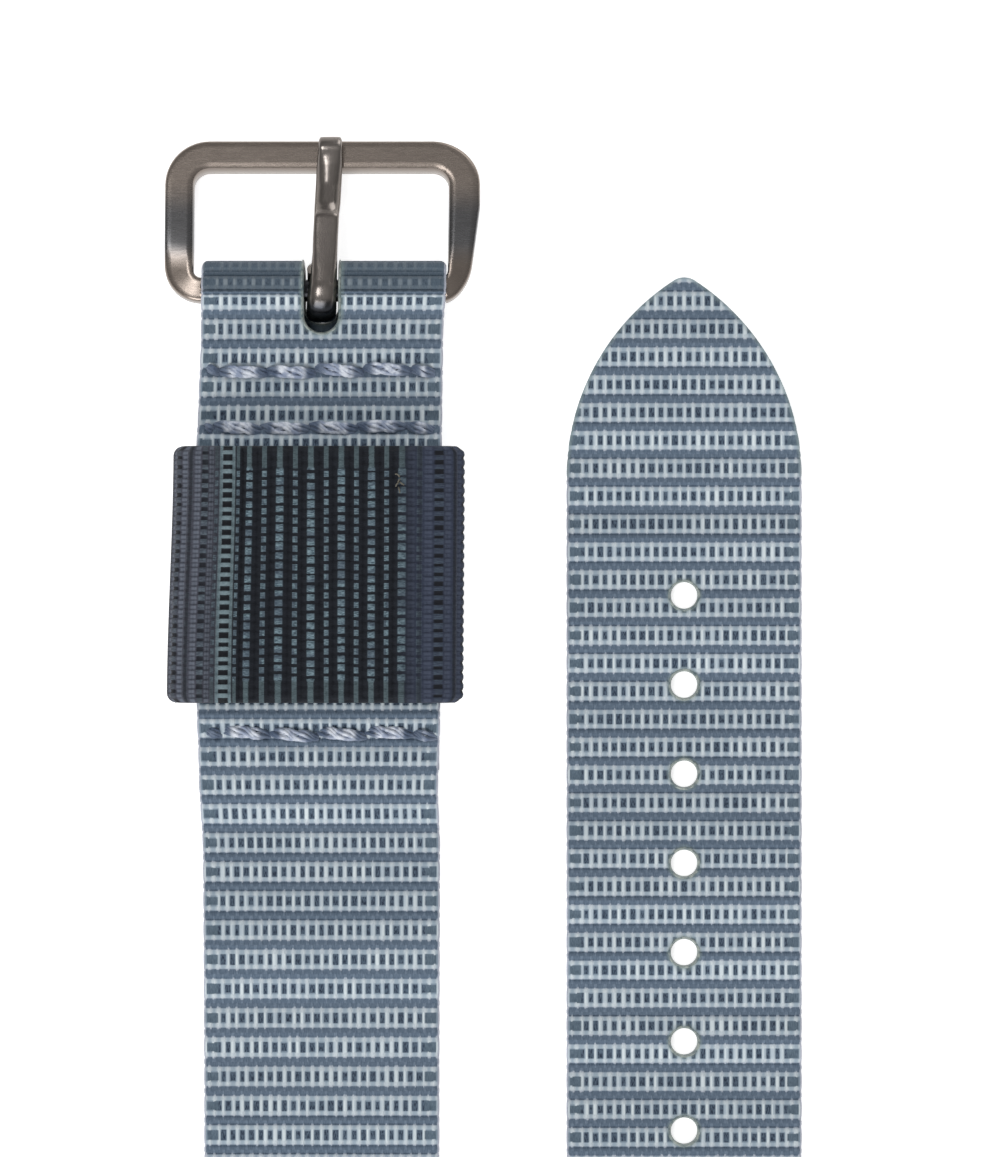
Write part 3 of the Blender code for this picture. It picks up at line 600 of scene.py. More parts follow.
# The ribbon is made in five stretches, which meet at the middle of a slate rib
STRETCHES = ("folded_end", "left_run", "standing_bend", "tail_base", "pointed_tail")
first_pair, last_pair = np.interp((0, TIP), PAIR_AT, PAIR_COUNT)
stops = [math.floor(first_pair + (last_pair - first_pair) * k / 5) + 0.5 for k in range(1, 5)]
stops = [first_pair, *stops, last_pair]
for stretch_name, start, end in zip(STRETCHES, stops, stops[1:]):
    rows = np.interp(mesh_rows(start, end, RIB_ROWS), PAIR_COUNT, PAIR_AT)
    bm = woven_solid(columns, rows, cut_and_fit)
    mesh = mesh_from(bm, f"webbing_{stretch_name}")
    flat = mesh_points(mesh)
    outer = np.where(flat[:, 2] > flat[:, 2].mean(), 1.0, -1.0)
    across, along_ribbon = flat[:, 0].copy(), flat[:, 1]
    pair_count = np.interp(along_ribbon, PAIR_AT, PAIR_COUNT)
    past_back = fade(along_ribbon, BACK_LENGTH + 0.5, BACK_LENGTH + 1.5)
    folded = past_back * fade(along_ribbon, FOLD_END + 0.2, FOLD_END - 0.8)
    height, rib = weave_height(across, pair_count, chance, 1 - 0.9 * folded)
    height = np.maximum(height - sewn_dent(across, along_ribbon), 0.12)
    below = along_ribbon - FOLD_END
    left, right = (np.interp(below, EDGE_BELOW, spread) for spread in (LEFT_SPREAD, RIGHT_SPREAD))
    spread = np.where(across < 0, left, right)
    spread *= fade(along_ribbon, BACK_LENGTH, BACK_LENGTH + 2)
    at_edge = fade(np.abs(across), 8.0, 9.0)
    flat[:, 0] = across * (1 + spread / HALF_WIDTH - 0.006 * (1 - rib) * at_edge)
    flat[:, 2] = outer * height
    weave = np.stack((across / YARN_PITCH, pair_count), axis=1)
    write_maps(mesh, flat, outer, weave, (rows[0], rows[-1]), HALF_WIDTH + 0.6)
    places = lay(flat)
    places[:, 2] = np.maximum(places[:, 2], 0.01)
    put_points(mesh, places)
    mesh.flip_normals()
    near_cut = (np.abs(across) < 3) | (along_ribbon > TIP - TIP_RADIUS)
    inside = [inside_cut(x, y) if near else HALF_WIDTH for x, y, near in zip(across, along_ribbon, near_cut)]
    write_attribute(mesh, "melt", 0.75 * (1 - fade(np.array(inside), 0.05, 0.30)))
    write_attribute(mesh, "edge", np.abs(across) - HALF_WIDTH + 0.2)
    # The 'fold' attribute is painted shade. It is dark over the top of the fold, which turns away from the
    # front lamp, and a little lighter in one row there so that the rungs show. It is also dark on the inner
    # faces round the slot.
    shaded = 0.90 * fade(along_ribbon, FOLD_END + 0.30, FOLD_END + 0.05)
    shaded -= 0.36 * np.exp(-(((along_ribbon - FOLD_END + 0.43) / 0.14) ** 2))
    # Painted shade: the inner faces round the tongue's slot are darkened, for the shadow between the two
    # layers.
    painted_slot_shade = fade(np.abs(across), 2.2, 1.7) * fade(np.abs(along_ribbon - BACK_LENGTH), 5.0, 4.2)
    write_attribute(mesh, "fold", np.where(outer < 0, painted_slot_shade, shaded * past_back))
    mesh.update()
    piece = finish_piece(f"webbing_{stretch_name}", mesh, grey_blue, "strap")
    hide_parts("strap_webbing")

# Melted rims: the size holes and the tongue's slot are burnt through with a hot tool, which
# leaves a hard, rounded, grey-green lip of melted nylon round each of them.
RIM_HALF_WIDTH = 0.14
RIM_HALF_HEIGHT = 0.65
HOLE_RADIUS = 1.0
SLOT_HALF_WIDTH = 1.3
RIM_SIDES = 10
RIM_STEPS = 40

melted, nodes = new_material("melted_nylon")
blotch = nodes.noise(nodes.place(), 2600, 4)
nodes.bump(blotch, 0.04)
nodes.surface({
    "Base Color": nodes.dye(nodes.fade(blotch, 0.3, 0.65), paint(92, 110, 116), paint(172, 180, 174)),
    "Roughness": nodes.fade(blotch, 0.3, 0.7, 0.3, 0.6),
})


def slice_at(bm, place, normal):
    """Cuts the faces along a plane, and keeps both sides."""
    geometry = bm.verts[:] + bm.edges[:] + bm.faces[:]
    bmesh.ops.bisect_plane(bm, geom=geometry, plane_co=place, plane_no=normal)


def add_rim(bm, along, radius, stretch=0.0):
    """One melted lip round a hole in the flat ribbon, drawn out along it for the slot."""
    ring = bmesh.new()
    bmesh.ops.create_circle(ring, segments=RIM_SIDES, radius=1)
    lip = Matrix(((RIM_HALF_WIDTH, 0, 0), (0, 0, 0), (0, RIM_HALF_HEIGHT, 0))).to_4x4()
    lip = Matrix.Translation((radius + RIM_HALF_WIDTH, 0, 0)) @ lip
    bmesh.ops.transform(ring, matrix=lip, verts=ring.verts)
    bmesh.ops.spin(
        ring, geom=ring.verts[:] + ring.edges[:], cent=(0, 0, 0), axis=(0, 0, 1),
        angle=2 * math.pi, steps=RIM_STEPS, use_merge=True,
    )
    if stretch:
        slice_at(ring, (0, 0, 0), (0, 1, 0))
        for vertex in ring.verts:
            if abs(vertex.co.y) > 0.001:
                vertex.co.y += math.copysign(stretch, vertex.co.y)
        cuts = int(2 * stretch / 0.3)
        for k in range(1, cuts):
            slice_at(ring, (0, -stretch + 2 * stretch * k / cuts, 0), (0, 1, 0))
    bmesh.ops.translate(ring, verts=ring.verts, vec=(0, along, 0))
    if stretch:
        for vertex in ring.verts:
            vertex.co.x += SLOT_PLACE - math.copysign(slot_narrowing(vertex.co.y), vertex.co.x)
    rim = mesh_from(ring, "rim")
    bm.from_mesh(rim)
    bpy.data.meshes.remove(rim)


def finish_rims(name, bm):
    """The melted lips' small unevenness, and their place on the strap."""
    bmesh.ops.recalc_face_normals(bm, faces=bm.faces)
    mesh = mesh_from(bm, name)
    flat = mesh_points(mesh)
    pair_count = np.interp(flat[:, 1], PAIR_AT, PAIR_COUNT)
    flat[:, 2] += 0.03 * np.sin(9 * flat[:, 0]) * np.sin(7 * flat[:, 1] + pair_count)
    places = lay(flat)
    places[:, 2] = np.maximum(places[:, 2], 0.005)
    put_points(mesh, places)
    mesh.flip_normals()
    finish_piece(name, mesh, melted, "strap")


bm = bmesh.new()
for hole in SIZE_HOLES:
    add_rim(bm, hole, HOLE_RADIUS)
finish_rims("size_hole_rims", bm)
bm = bmesh.new()
add_rim(bm, (SLOT_START + SLOT_END) / 2, SLOT_HALF_WIDTH, (SLOT_END - SLOT_START) / 2)
finish_rims("tongue_slot_rim", bm)


# The sewing thread: three rows of lockstitch in twisted grey-blue polyester. The needle thread
# floats on top from hole to hole, and the thinner bobbin thread does the same underneath.
FLOAT_PLIES = 5
FLOAT_POINTS = 26
NEEDLE_PLY, NEEDLE_HELIX = 0.15, (0.34, 0.14)
BOBBIN_PLY, BOBBIN_HELIX = 0.09, (0.14, 0.12)
TWIST_PITCH = 3.4

thread_colour, nodes = new_material("twisted_grey_blue_thread")
strand = nodes.noise(nodes.place(), 1500, 3)
colour = nodes.dye(nodes.fade(strand, 0.35, 0.65), paint(142, 154, 178), paint(222, 227, 236))
# Painted shade: by the 'sunk' attribute, the thread takes a darker slate blue where it dives into a needle
# hole.
sunk_shade_colour = nodes.dye(strand, paint(42, 60, 86), paint(88, 108, 136))
nodes.bump(strand, 0.04)
colour = nodes.dye(nodes.attribute("sunk"), colour, sunk_shade_colour)
nodes.surface({"Base Color": colour, "Roughness": 0.6, "Sheen Weight": 0.2})


def new_tubes(name, radius, resolution):
    """A curve whose lines become closed tubes."""
    curve = bpy.data.curves.new(name, "CURVE")
    curve.dimensions = "3D"
    curve.bevel_depth = radius * MM
    curve.bevel_resolution = resolution
    curve.use_fill_caps = True
    return curve


def mesh_of(curve):
    """A plain mesh of a curve's tubes."""
    item = show(curve.name, curve)
    mesh = bpy.data.meshes.new_from_object(item.evaluated_get(bpy.context.evaluated_depsgraph_get()))
    bpy.data.objects.remove(item)
    mesh.materials.clear()
    return mesh


def add_float(curve, start, end, level, side, helix, twist):
    """One float of plied thread from hole to hole: arched, dipping into both needle holes."""
    arch = 0.16 if side > 0 else 0.0
    for ply in range(FLOAT_PLIES):
        spline = curve.splines.new("POLY")
        spline.points.add(FLOAT_POINTS - 1)
        for k, point in enumerate(spline.points):
            share = k / (FLOAT_POINTS - 1)
            x = start[0] + (end[0] - start[0]) * share
            y = start[1] + (end[1] - start[1]) * share
            dive = min(share, 1 - share) * abs(end[0] - start[0])
            sink = 0.70 * max(0, 1 - dive / 0.95) ** 1.6
            tight = 1 - 0.55 * max(0, 1 - dive / 0.8)
            turn = 2 * math.pi * (ply / FLOAT_PLIES + x / TWIST_PITCH) + twist
            turn += 0.5 * math.sin(5 * ply + 2.2 * x)
            lift = arch * math.sin(math.pi * share) - sink
            point.co = (
                x * MM,
                (y + helix[0] * tight * math.cos(turn)) * MM,
                (level + side * lift + helix[1] * tight * math.sin(turn)) * MM,
                1,
            )


THREAD_JITTER = np.random.default_rng(5)
for row, below in enumerate(STITCH_ROWS):
    front = BACK_LEVEL + float(front_lift(below))
    for kind, side, ply_radius, helix, level in (
        ("needle", 1, NEEDLE_PLY, NEEDLE_HELIX, front + HALF_THICKNESS + 0.12),
        ("bobbin", -1, BOBBIN_PLY, BOBBIN_HELIX, BACK_LEVEL - HALF_THICKNESS - 0.345),
    ):
        curve = new_tubes(f"{kind}_thread_row_{row + 1}_plied", ply_radius, 2)
        ends = [-HALF_WIDTH + 0.25] + stitch_places(row) + [HALF_WIDTH - 0.25]
        for start, end in zip(ends, ends[1:]):
            slant = THREAD_JITTER.uniform(0.02, 0.24)
            y = BAR_Y - below + THREAD_JITTER.uniform(-0.12, 0.12)
            add_float(
                curve, (LEFT_RUN_X + start, y + slant), (LEFT_RUN_X + end, y - slant),
                level, side, helix, THREAD_JITTER.uniform(0, 6),
            )
        mesh = mesh_of(curve)
        from_middle = mesh_points(mesh)[:, :1] / MM - LEFT_RUN_X
        nearest = np.abs(from_middle - np.array([ends])).min(axis=1)
        # Painted shade: 'sunk' darkens the thread near its needle holes.
        write_attribute(mesh, "sunk", 0.9 * fade(nearest, 1.05, 0.55))
        piece = finish_piece(curve.name, mesh, thread_colour, "strap")
        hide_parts(f"{kind}_thread_row_{row + 1}")


# The keeper: a loop of wider, near-black webbing turned a quarter turn, so that its ribs run
# along the strap. Its joined ends lie hidden between the strap's two layers.
KEEPER_HALF = 9.72
KEEPER_STRAIGHT = 8.65
KEEPER_ROUND = 2.1
KEEPER_MIDDLE = (-12.4, 35.123, 4.6)
KEEPER_CORNER = math.pi * KEEPER_ROUND
KEEPER_LOOP = 4 * KEEPER_STRAIGHT + 2 * KEEPER_CORNER
KEEPER_SEAM = 0.06
KEEPER_EDGE = 0.75
KEEPER_YARN = 0.706
KEEPER_ROWS = (-0.38, -0.28, -0.19, -0.10, 0.0, 0.10, 0.19, 0.28, 0.38, 0.5)
# Distances round the loop at which the photograph shows its pale ribs, and their count there
KEEPER_RUN_AT = np.array((0, 14.6, 17.43, 29.30, 30.92, 32.60, 34.5, KEEPER_LOOP))
KEEPER_PAIRS = np.array((0.4, 7, 8, 13, 14, 15, 16, 21.7))
LADDER_PAIR = 14.0


def keeper_place(flat):
    """Points given along the strap, round the loop and out from it, put on the keeper."""
    run = flat[:, 1]
    left_start = 3 * KEEPER_STRAIGHT + KEEPER_CORNER
    turn = np.clip((run - KEEPER_STRAIGHT) / KEEPER_ROUND, 0, math.pi)
    turn += np.clip((run - left_start) / KEEPER_ROUND, 0, math.pi)
    x = np.clip(run, 0, KEEPER_STRAIGHT)
    x -= np.clip(run - KEEPER_STRAIGHT - KEEPER_CORNER, 0, 2 * KEEPER_STRAIGHT)
    x += np.clip(run - left_start - KEEPER_CORNER, 0, KEEPER_STRAIGHT)
    out = flat[:, 2]
    x = x + (KEEPER_ROUND + out) * np.sin(turn)
    down = (KEEPER_HALF - flat[:, 0]) / (2 * KEEPER_HALF)
    x += np.where(x < 0, 0.15 - 0.5 * ease(down), -0.35 - 0.1 * ease(down)) * np.clip(np.abs(x) / 9, 0, 1)
    z = -(KEEPER_ROUND + out) * np.cos(turn)
    return np.stack((x + KEEPER_MIDDLE[0], flat[:, 0] + KEEPER_MIDDLE[1], z + KEEPER_MIDDLE[2]), axis=1)


def keeper_height(across, pairs):
    """How high the keeper's outer face stands over its middle, for its wide and its thin ribs."""
    _, along, _, aside = yarn_places(across, pairs, KEEPER_YARN)
    wide = np.sqrt(np.clip(np.cos(np.clip(along / 0.26, 0, 1) * math.pi / 2), 0, 1))
    thin = 0.8 * np.sqrt(np.clip(np.cos(np.clip((0.5 - along) / 0.18, 0, 1) * math.pi / 2), 0, 1))
    slit = (1 - fade(aside, 0.08, 0.26)) * (along < 0.3)
    return HALF_THICKNESS - 0.24 * (1 - np.maximum(wide, thin)) - 0.10 * slit


columns = mesh_columns(13, KEEPER_YARN, (9.24, 9.36, 9.50, 9.62, 9.72))
pairs = mesh_rows(KEEPER_PAIRS[0], KEEPER_PAIRS[-1], KEEPER_ROWS)
rows = np.interp(pairs, KEEPER_PAIRS, KEEPER_RUN_AT)
bm = woven_solid(columns, np.clip(rows, KEEPER_SEAM / 2, KEEPER_LOOP - KEEPER_SEAM / 2))
mesh = mesh_from(bm, "keeper_loop")
flat = mesh_points(mesh)
outer = np.where(flat[:, 2] > flat[:, 2].mean(), 1.0, -1.0)
pair_count = np.interp(flat[:, 1], KEEPER_RUN_AT, KEEPER_PAIRS)
height = keeper_height(flat[:, 0], pair_count)
corner = edge_share(flat[:, 0], KEEPER_HALF, KEEPER_EDGE)
rounded = height - KEEPER_EDGE * (1 - np.sqrt(1 - 0.98 * corner**2))
plain = height * np.sqrt(1 - 0.9 * edge_share(flat[:, 0], KEEPER_HALF, 0.3) ** 2)
weave = np.stack((flat[:, 0] / KEEPER_YARN, pair_count), axis=1)
flat[:, 2] = np.where(outer > 0, rounded, -np.maximum(plain, 0.3))
write_maps(mesh, flat, outer, weave, (0, KEEPER_LOOP), KEEPER_HALF + 0.2)
# How far each place round the loop has turned towards the left, -1, or the right, 1; this also sets the
# painted sheen on the loop's sides
SIDE_AT = (0, 9.0, 12.0, 15.2, 18.5, 29.5, 33.0, 39.0, KEEPER_LOOP)
SIDES = (0, 0.4, 1, 0.9, 0, 0, -0.8, -1, 0)
put_points(mesh, keeper_place(flat))
write_attribute(mesh, "side", np.interp(flat[:, 1], SIDE_AT, SIDES))
mesh.update()

navy, nodes = new_material("navy_nylon_webbing")
weave, chart = woven(nodes)
chart = nodes.axes(chart)
along, aside, fibre = (weave[name] for name in ("Along", "Aside", "Fibre"))
turned = nodes.attribute("side")
side_stripe = nodes.times(nodes.fade(along, 0.14, 0.20), nodes.fade(along, 0.40, 0.32))
fine_step = nodes.size(nodes.less(nodes.math("FRACT", nodes.times(chart["X"], 2.0)), 0.5))
side_stripe = nodes.times(side_stripe, nodes.fade(fine_step, 0.12, 0.26, 0.25, 1.0))
# Painted light: by the 'side' attribute, the loop's turned sides take lighter colours than its front, the
# left side lightest, for the sheen of light grazing them.
left_sheen_ground = nodes.dye(fibre, paint(34, 36, 44), paint(84, 86, 98))
right_sheen_ground = nodes.dye(fibre, paint(32, 38, 52), paint(60, 67, 86))
left_sheen_colour = nodes.dye(side_stripe, left_sheen_ground, paint(100, 106, 118))
right_sheen_colour = nodes.dye(side_stripe, right_sheen_ground, paint(66, 73, 90))
ground = nodes.dye(fibre, paint(10, 13, 18), paint(36, 40, 48))
ground = nodes.dye(nodes.fade(turned, -0.1, -0.8), ground, left_sheen_colour)
ground = nodes.dye(nodes.fade(turned, 0.1, 0.8), ground, right_sheen_colour)
hem = nodes.fade(nodes.size(chart["X"]), 11.2, 11.6)
dot_colour = nodes.dye(nodes.fade(fibre, 0.3, 0.7), paint(58, 74, 84), paint(126, 148, 158))
dulled = nodes.fade(weave["Shade chance"], 0.2, 1.0, 0.0, 0.6)
dot_colour = nodes.dye(dulled, dot_colour, paint(62, 70, 84))
dot_colour = nodes.dye(hem, dot_colour, nodes.dye(fibre, paint(30, 40, 46), paint(104, 122, 128)))
ragged = nodes.times(nodes.less(fibre, 0.5), 0.11)
ragged_along = nodes.plus(nodes.plus(along, nodes.times(ragged, 0.7)), nodes.times(hem, 0.03))
between = nodes.math("FRACT", nodes.plus(chart["X"], 0.25))
between = nodes.size(nodes.less(between, 0.5))
wide_gap = nodes.larger(nodes.fade(nodes.plus(aside, ragged), 0.10, 0.20), hem)
thin_gap = nodes.larger(nodes.fade(between, 0.15, 0.21), hem)
wide_dot = nodes.times(nodes.fade(ragged_along, 0.145, 0.095), wide_gap)
thin_dot = nodes.times(nodes.fade(along, 0.41, 0.435), thin_gap)
calm = nodes.times(nodes.size(turned), 0.92)
dots = nodes.times(nodes.larger(wide_dot, nodes.times(thin_dot, 0.85)), nodes.less(1.0, calm))
navy_colour = nodes.dye(dots, ground, dot_colour)
speck = nodes.times(nodes.fade(along, 0.15, 0.09), nodes.fade(aside, 0.26, 0.18))
side_mark = nodes.larger(speck, nodes.times(nodes.fade(along, 0.41, 0.46), 0.7))
side_mark = nodes.times(side_mark, nodes.fade(calm, 0.35, 0.75))
navy_colour = nodes.dye(side_mark, navy_colour, paint(22, 24, 31))
rung = nodes.larger(nodes.fade(aside, 0.24, 0.32), nodes.fade(along, 0.19, 0.25))
rung_colour = nodes.dye(fibre, paint(78, 96, 104), paint(142, 160, 166))
rung_colour = nodes.dye(rung, paint(16, 18, 23), rung_colour)
ladder = nodes.fade(nodes.size(nodes.less(chart["Y"], LADDER_PAIR)), 0.40, 0.30)
navy_colour = nodes.dye(nodes.times(ladder, 0.9), navy_colour, rung_colour)
nodes.surface({"Base Color": navy_colour, "Roughness": 0.8, "Specular IOR Level": 0.18, "Sheen Weight": 0.05})
nodes.bump(nodes.plus(nodes.fade(aside, 0.05, 0.4), nodes.times(fibre, 0.6)), 0.07)
keeper = finish_piece("keeper_loop", mesh, navy, "keeper")
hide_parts("keeper_webbing")

# A few loose fibre ends stand up from the keeper's face where the cut ends of its yarns were singed
FIBRE_STEPS = 9
curve = new_tubes("keeper_loose_fibres", 0.055, 1)
fibre_ends = np.random.default_rng(8)
for _ in range(5):
    x, y = -6.25 + fibre_ends.uniform(-0.3, 0.3), 42.0 + fibre_ends.uniform(-0.5, 0.5)
    heading, bend = fibre_ends.uniform(0, 6.28), fibre_ends.uniform(-2.2, 2.2)
    spline = curve.splines.new("POLY")
    spline.points.add(FIBRE_STEPS)
    for k, point in enumerate(spline.points):
        share = k / FIBRE_STEPS
        lift = 0.25 * math.sin(math.pi * share)
        point.co = (x * MM, y * MM, (KEEPER_MIDDLE[2] + KEEPER_ROUND + HALF_THICKNESS - 0.05 + lift) * MM, 1)
        x += 0.045 * math.cos(heading + bend * share)
        y += 0.045 * math.sin(heading + bend * share)
singed, nodes = new_material("singed_fibre")
char = nodes.noise(nodes.place(), 2200)
nodes.surface({"Base Color": nodes.dye(char, paint(58, 56, 50), paint(128, 122, 110)), "Roughness": 0.8})
finish_piece(curve.name, mesh_of(curve), singed, "keeper")


# The buckle's frame: a flat ring of brushed nickel, cast in one with the round bar that the
# strap is folded round. Its window has a broad bevel, and its low corners slope to the bar.
BUCKLE_BAR = (-12.4, 56.723, 2.95)
BUCKLE_TILT = math.radians(-10.2266)
FRAME_HALF = 11.9
FRAME_TOP, FRAME_FOOT = 11.5, -0.9
FRAME_LEG = 2.2
WINDOW_HALF = FRAME_HALF - FRAME_LEG
WINDOW_TOP = FRAME_TOP - FRAME_LEG
FRAME_THICK = 1.9
BAR_RADIUS = 0.85
FOOT_START = (-9.08, 9.5)
CORNER_X, CORNER_Y, CORNER_DROP = 9.1, 1.9, 0.5
FRAME_RINGS = 4


def brush_metal(nodes, dark, light, roughness, grain):
    """A satin grey metal with very fine brushing, faint blotches and a slightly uneven shine."""
    drawn = nodes.new("Mapping")
    nodes.fill(drawn, {"Vector": nodes.place(), "Scale": grain})
    lines = nodes.noise(drawn.outputs[0], 1, 4)
    blotch = nodes.noise(nodes.place(), 260, 3)
    tone = nodes.plus(nodes.times(lines, 0.4), nodes.times(blotch, 0.6))
    uneven = nodes.fade(lines, 0.2, 0.8, roughness - 0.03, roughness + 0.05)
    nodes.surface({"Metallic": 1, "Roughness": uneven})
    nodes.bump(lines, 0.001, 0.12)
    return nodes.dye(nodes.fade(tone, 0.3, 0.7), dark, light)


brushed, nodes = new_material("brushed_nickel")
warm = brush_metal(nodes, (0.238, 0.201, 0.176, 1), (0.256, 0.217, 0.190, 1), 0.25, (900, 14000, 14000))
place = nodes.axes(nodes.place())
from_bar = nodes.less(place["Y"], BUCKLE_BAR[1] * MM)
# Painted reflection: the legs' middles are darker than the top bar, for the darker surroundings that they
# reflect.
painted_leg_reflection = nodes.times(nodes.fade(from_bar, 8.6 * MM, 5.6 * MM), nodes.fade(from_bar, 1.6 * MM, 3.8 * MM))
frame_colour = nodes.dye(painted_leg_reflection, warm, (0.112, 0.111, 0.114, 1))
# Painted shade: the bar is darkened where the webbing is wrapped round it
from_strap = nodes.size(nodes.less(place["X"], BUCKLE_BAR[0] * MM))
painted_bar_shade = nodes.times(nodes.fade(from_strap, 9.2 * MM, 8.8 * MM), nodes.fade(from_bar, 2.2 * MM, 1.6 * MM))
nodes.surface({"Base Color": nodes.dye(painted_bar_shade, frame_colour, (0.030, 0.031, 0.034, 1))})

bm = bmesh.new()
bmesh.ops.create_grid(bm, x_segments=1, y_segments=1, size=1)
for vertex in bm.verts:
    vertex.co = (vertex.co.x * FRAME_HALF, FRAME_TOP if vertex.co.y > 0 else FRAME_FOOT, 0)
for is_top, radius in ((True, 3.4), (False, 2.8)):
    level = FRAME_TOP if is_top else FRAME_FOOT
    corners = [vertex for vertex in bm.verts if abs(vertex.co.y - level) < 0.01]
    bmesh.ops.bevel(
        bm, geom=corners, offset=radius, offset_type="OFFSET", affect="VERTICES", segments=14,
        profile=0.5, material=-1,
    )
face = bm.faces[:]
for _ in range(FRAME_RINGS):
    bmesh.ops.inset_region(
        bm, faces=face, thickness=FRAME_LEG / FRAME_RINGS, use_even_offset=True, use_boundary=True
    )
    for vertex in {vertex for item in face for vertex in item.verts}:
        if vertex.co.y < 2.5:
            vertex.co.y -= 0.4 / FRAME_RINGS
for level in (2.3, 2.7, 3.1, 3.6, 5.0, 6.5, 8.0):
    slice_at(bm, (0, level, 0), (0, 1, 0))
delete_faces(
    bm, lambda middle: abs(middle.x) < WINDOW_HALF - 0.5 and 0.9 < middle.y < WINDOW_TOP, "FACES_ONLY"
)
bmesh.ops.solidify(bm, geom=bm.faces[:], thickness=FRAME_THICK)
levels = [vertex.co.z for vertex in bm.verts]
bmesh.ops.translate(bm, verts=bm.verts, vec=(0, 0, -(max(levels) + min(levels)) / 2))
window_edges, rim_edges = [], []
for edge in bm.edges:
    first, second = (vertex.co for vertex in edge.verts)
    if abs(first.z - second.z) > 0.01 or len(edge.link_faces) != 2:
        continue
    if edge.calc_face_angle(0) < math.radians(60):
        continue
    middle = (first + second) / 2
    in_window = abs(middle.x) < WINDOW_HALF + 0.01 and 0.8 < middle.y < WINDOW_TOP + 0.01
    (window_edges if in_window and middle.z > 0 else rim_edges).append(edge)
for edges, width, cuts in ((window_edges, 0.30, 2), (rim_edges, 0.2, 3)):
    edges = [edge for edge in edges if edge.is_valid]
    bmesh.ops.bevel(bm, geom=edges, offset=width, segments=cuts, profile=0.5, affect="EDGES", material=-1)
for place in FOOT_START:
    slice_at(bm, (place, 0, 0), (1, 0, 0))
delete_faces(bm, lambda middle: FOOT_START[0] < middle.x < FOOT_START[1] and middle.y < 1.2)
ends = bmesh.ops.holes_fill(bm, edges=[edge for edge in bm.edges if edge.is_boundary], sides=0)["faces"]
bmesh.ops.poke(bm, faces=ends)
for vertex in bm.verts:
    from_corner = math.hypot(max(abs(vertex.co.x) - CORNER_X, 0), max(CORNER_Y - vertex.co.y, 0))
    foot = float(ease((3.6 - vertex.co.y) / 2.6)) * min(max((from_corner - 0.6) / FRAME_LEG, 0), 1)
    vertex.co.z -= (CORNER_DROP if vertex.co.z > 0 else -0.2) * foot
    lean = 0.13 * max(6.5 - vertex.co.y, 0) - 0.2
    vertex.co.x -= lean * min(max((vertex.co.x - FOOT_START[1]) / 2.4, 0), 1)
bar_length = FOOT_START[1] - FOOT_START[0] + 0.2
bar = bmesh.ops.create_cone(
    bm, cap_ends=True, segments=32, radius1=BAR_RADIUS, radius2=BAR_RADIUS, depth=bar_length
)
bmesh.ops.rotate(bm, verts=bar["verts"], cent=(0, 0, 0), matrix=Matrix.Rotation(math.pi / 2, 3, "Y"))
bmesh.ops.translate(bm, verts=bar["verts"], vec=(sum(FOOT_START) / 2, 0, 0))
hang = Matrix.Translation(Vector(BUCKLE_BAR) * MM) @ Matrix.Rotation(BUCKLE_TILT, 4, "X")
hang = hang @ Matrix.Scale(MM, 4)
bmesh.ops.transform(bm, matrix=hang, verts=bm.verts)
bmesh.ops.recalc_face_normals(bm, faces=bm.faces)
mesh = mesh_from(bm, "buckle_frame_brushed")
piece = finish_piece("buckle_frame_brushed", mesh, brushed, "buckle", 34)
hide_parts("buckle_frame")


# The buckle's tongue: one strip of satin nickel rolled round the bar, with a round drawn-in neck
# under its flat tip, lying on the frame's top bar and leaning slightly to the right.
TONGUE_ROLL, ROLL_THICK = 1.62, 1.2
ROLL_SWELL = 0.24
TONGUE_TOP, TONGUE_UNDER = 2.2, 1.05
# The section at distances along the tongue from the bar: its half width, its place to the right,
# how far its top dips and its underside swells, and its squareness
ALONG = (0.0, 1.2, 2.6, 4.0, 5.5, 5.75, 6.4, 8.0, 9.6, 10.3, 10.55, 11.2)
HALF = (1.08, 1.00, 0.95, 0.95, 0.95, 0.97, 0.99, 0.99, 0.98, 0.95, 0.92, 0.91)
SHIFT = (0.18, 0.27, 0.34, 0.38, 0.45, 0.46, 0.50, 0.58, 0.66, 0.69, 0.70, 0.73)
DIP = (0.0, 0.02, 0.06, 0.08, 0.08, 0.20, 0.34, 0.42, 0.34, 0.16, 0.02, 0.0)
DEEPER = (0.0, 0.0, 0.0, 0.0, 0.0, 0.06, 0.28, 0.35, 0.0, 0.0, 0.0, 0.0)
SQUARE = (2.4, 2.8, 4.5, 6.0, 6.0, 2.6, 2.1, 2.0, 2.1, 3.4, 6.0, 6.0)
# The same for the roll, by its angle from the seam round to the crest
ROLL_ANGLE = (-15, 165, 195, 235, 270)
ROLL_HALF = (1.10, 1.12, 1.14, 1.12, 1.08)
ROLL_SHIFT = (0.04, 0.04, 0.05, 0.10, 0.18)

satin, nodes = new_material("satin_nickel")
polished = brush_metal(nodes, (0.205, 0.183, 0.168, 1), (0.245, 0.220, 0.203, 1), 0.20, (14000, 900, 14000))
# Painted shade: by the 'rolled' attribute, the roll's underside, down inside the slot, is made near black.
nodes.surface({"Base Color": nodes.dye(nodes.attribute("rolled"), polished, (0.035, 0.037, 0.042, 1))})


def tongue_section(distance):
    """Half width, sideways place, top, underside and squareness at a distance from the bar."""
    half, place, dip, deeper, square = (
        float(np.interp(distance, ALONG, table)) for table in (HALF, SHIFT, DIP, DEEPER, SQUARE)
    )
    return half, place, TONGUE_TOP - dip, TONGUE_UNDER - deeper, square


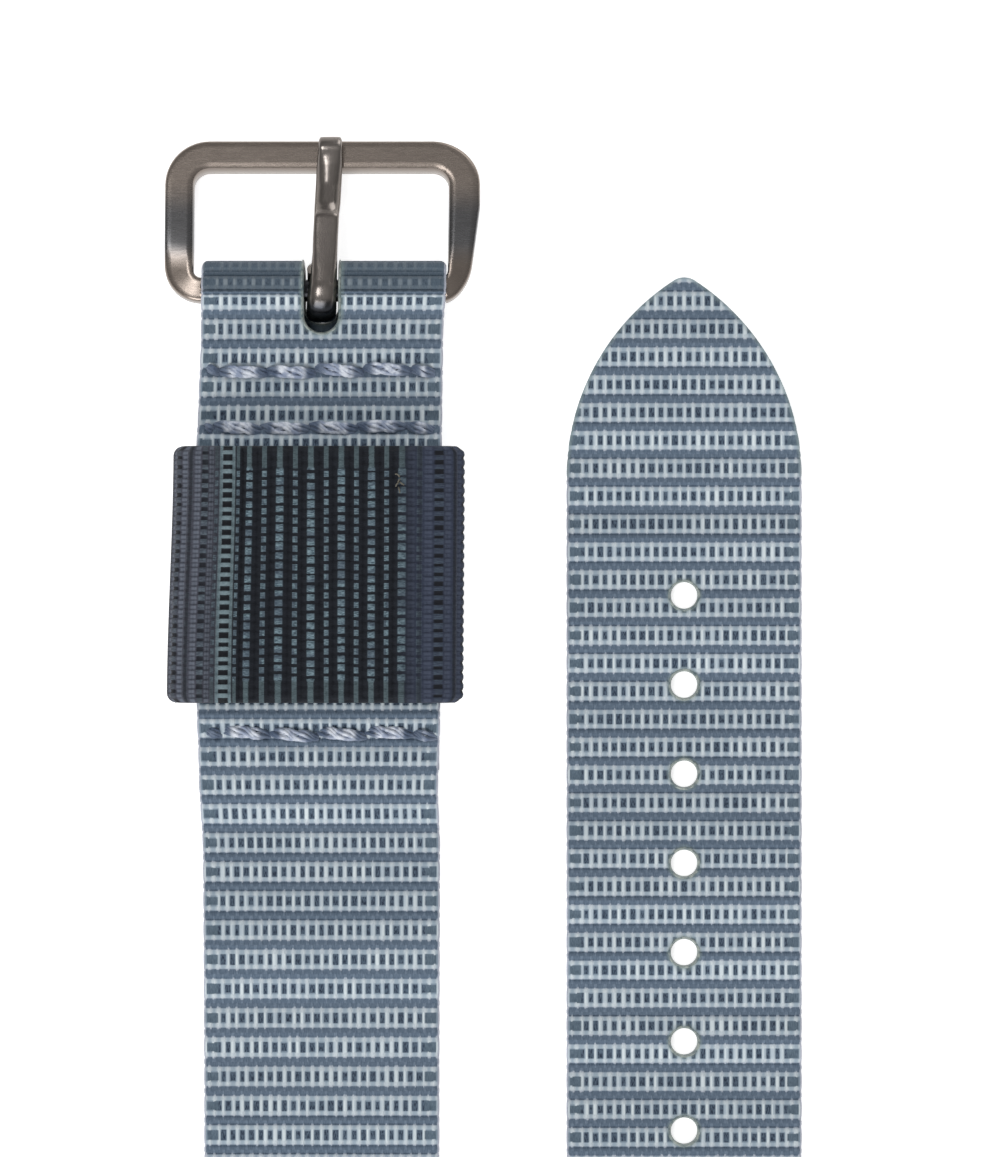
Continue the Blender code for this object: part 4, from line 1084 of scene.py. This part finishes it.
# Each step is the middle of a cross-section, its turn, half width, half thickness and squareness
steps = []
for k in range(33):
    angle = -15 + 285 * k / 32
    turn = -math.radians(angle)
    swell = ROLL_SWELL * max(-math.cos(turn), 0)
    middle = TONGUE_ROLL + swell / 2
    half, place = (float(np.interp(angle, ROLL_ANGLE, table)) for table in (ROLL_HALF, ROLL_SHIFT))
    thick = (ROLL_THICK + swell) / 2 * (1 if k else 0.75)
    centre = (place, middle * math.cos(turn), middle * math.sin(turn))
    steps.append((centre, turn - math.pi / 2, half, thick, 2.5))
for k in range(1, 55):
    distance = 0.2 * k
    half, place, top, under, square = tongue_section(distance)
    steps.append(((place, distance, (top + under) / 2), 0.0, half, (top - under) / 2, square))
half, place, top, under, square = tongue_section(10.9)
for k in range(1, 8):
    turn = math.pi / 2 * k / 7
    shrink = 1 - 0.5 * (1 - math.cos(turn)) ** 1.2
    centre = (place, 10.85 + 0.75 * math.sin(turn), (top + under) / 2 - 0.10 * math.sin(turn))
    steps.append((centre, 0.0, half * (0.55 + 0.45 * shrink), (top - under) / 2 * shrink, square))

bm = bmesh.new()
bmesh.ops.create_circle(bm, cap_ends=True, segments=40, radius=1)
sideways = bm.verts.layers.float.new("sideways")
upward = bm.verts.layers.float.new("upward")
for vertex in bm.verts:
    vertex[sideways], vertex[upward] = vertex.co.x, vertex.co.y
cap = next(iter(bm.faces))


def place_section(cap, step):
    """Gives one cross-section of the strip its rounded-square shape and its place."""
    centre, turn, half, thick, square = step
    stand = Matrix.Translation(centre) @ Matrix.Rotation(turn, 4, "X")
    for vertex in cap.verts:
        x = math.copysign(abs(vertex[sideways]) ** (2 / square), vertex[sideways])
        z = math.copysign(abs(vertex[upward]) ** (2 / square), vertex[upward])
        vertex.co = stand @ Vector((x * half, 0, z * thick))


place_section(cap, steps[0])
for number, step in enumerate(steps[1:]):
    made = bmesh.ops.extrude_face_region(bm, geom=[cap])
    if number and cap.is_valid:
        bmesh.ops.delete(bm, geom=[cap], context="FACES_ONLY")
    cap = next(item for item in made["geom"] if isinstance(item, bmesh.types.BMFace))
    place_section(cap, step)
bmesh.ops.recalc_face_normals(bm, faces=bm.faces)
mesh = mesh_from(bm, "buckle_tongue_satin")
# Painted shade: 'rolled' marks the roll's underside inside the slot, which the material darkens.
write_attribute(mesh, "rolled", fade(mesh_points(mesh)[:, 1], -0.95, -1.50))
mesh.transform(hang)
piece = finish_piece("buckle_tongue_satin", mesh, satin, "tongue", 40)
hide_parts("buckle_tongue")
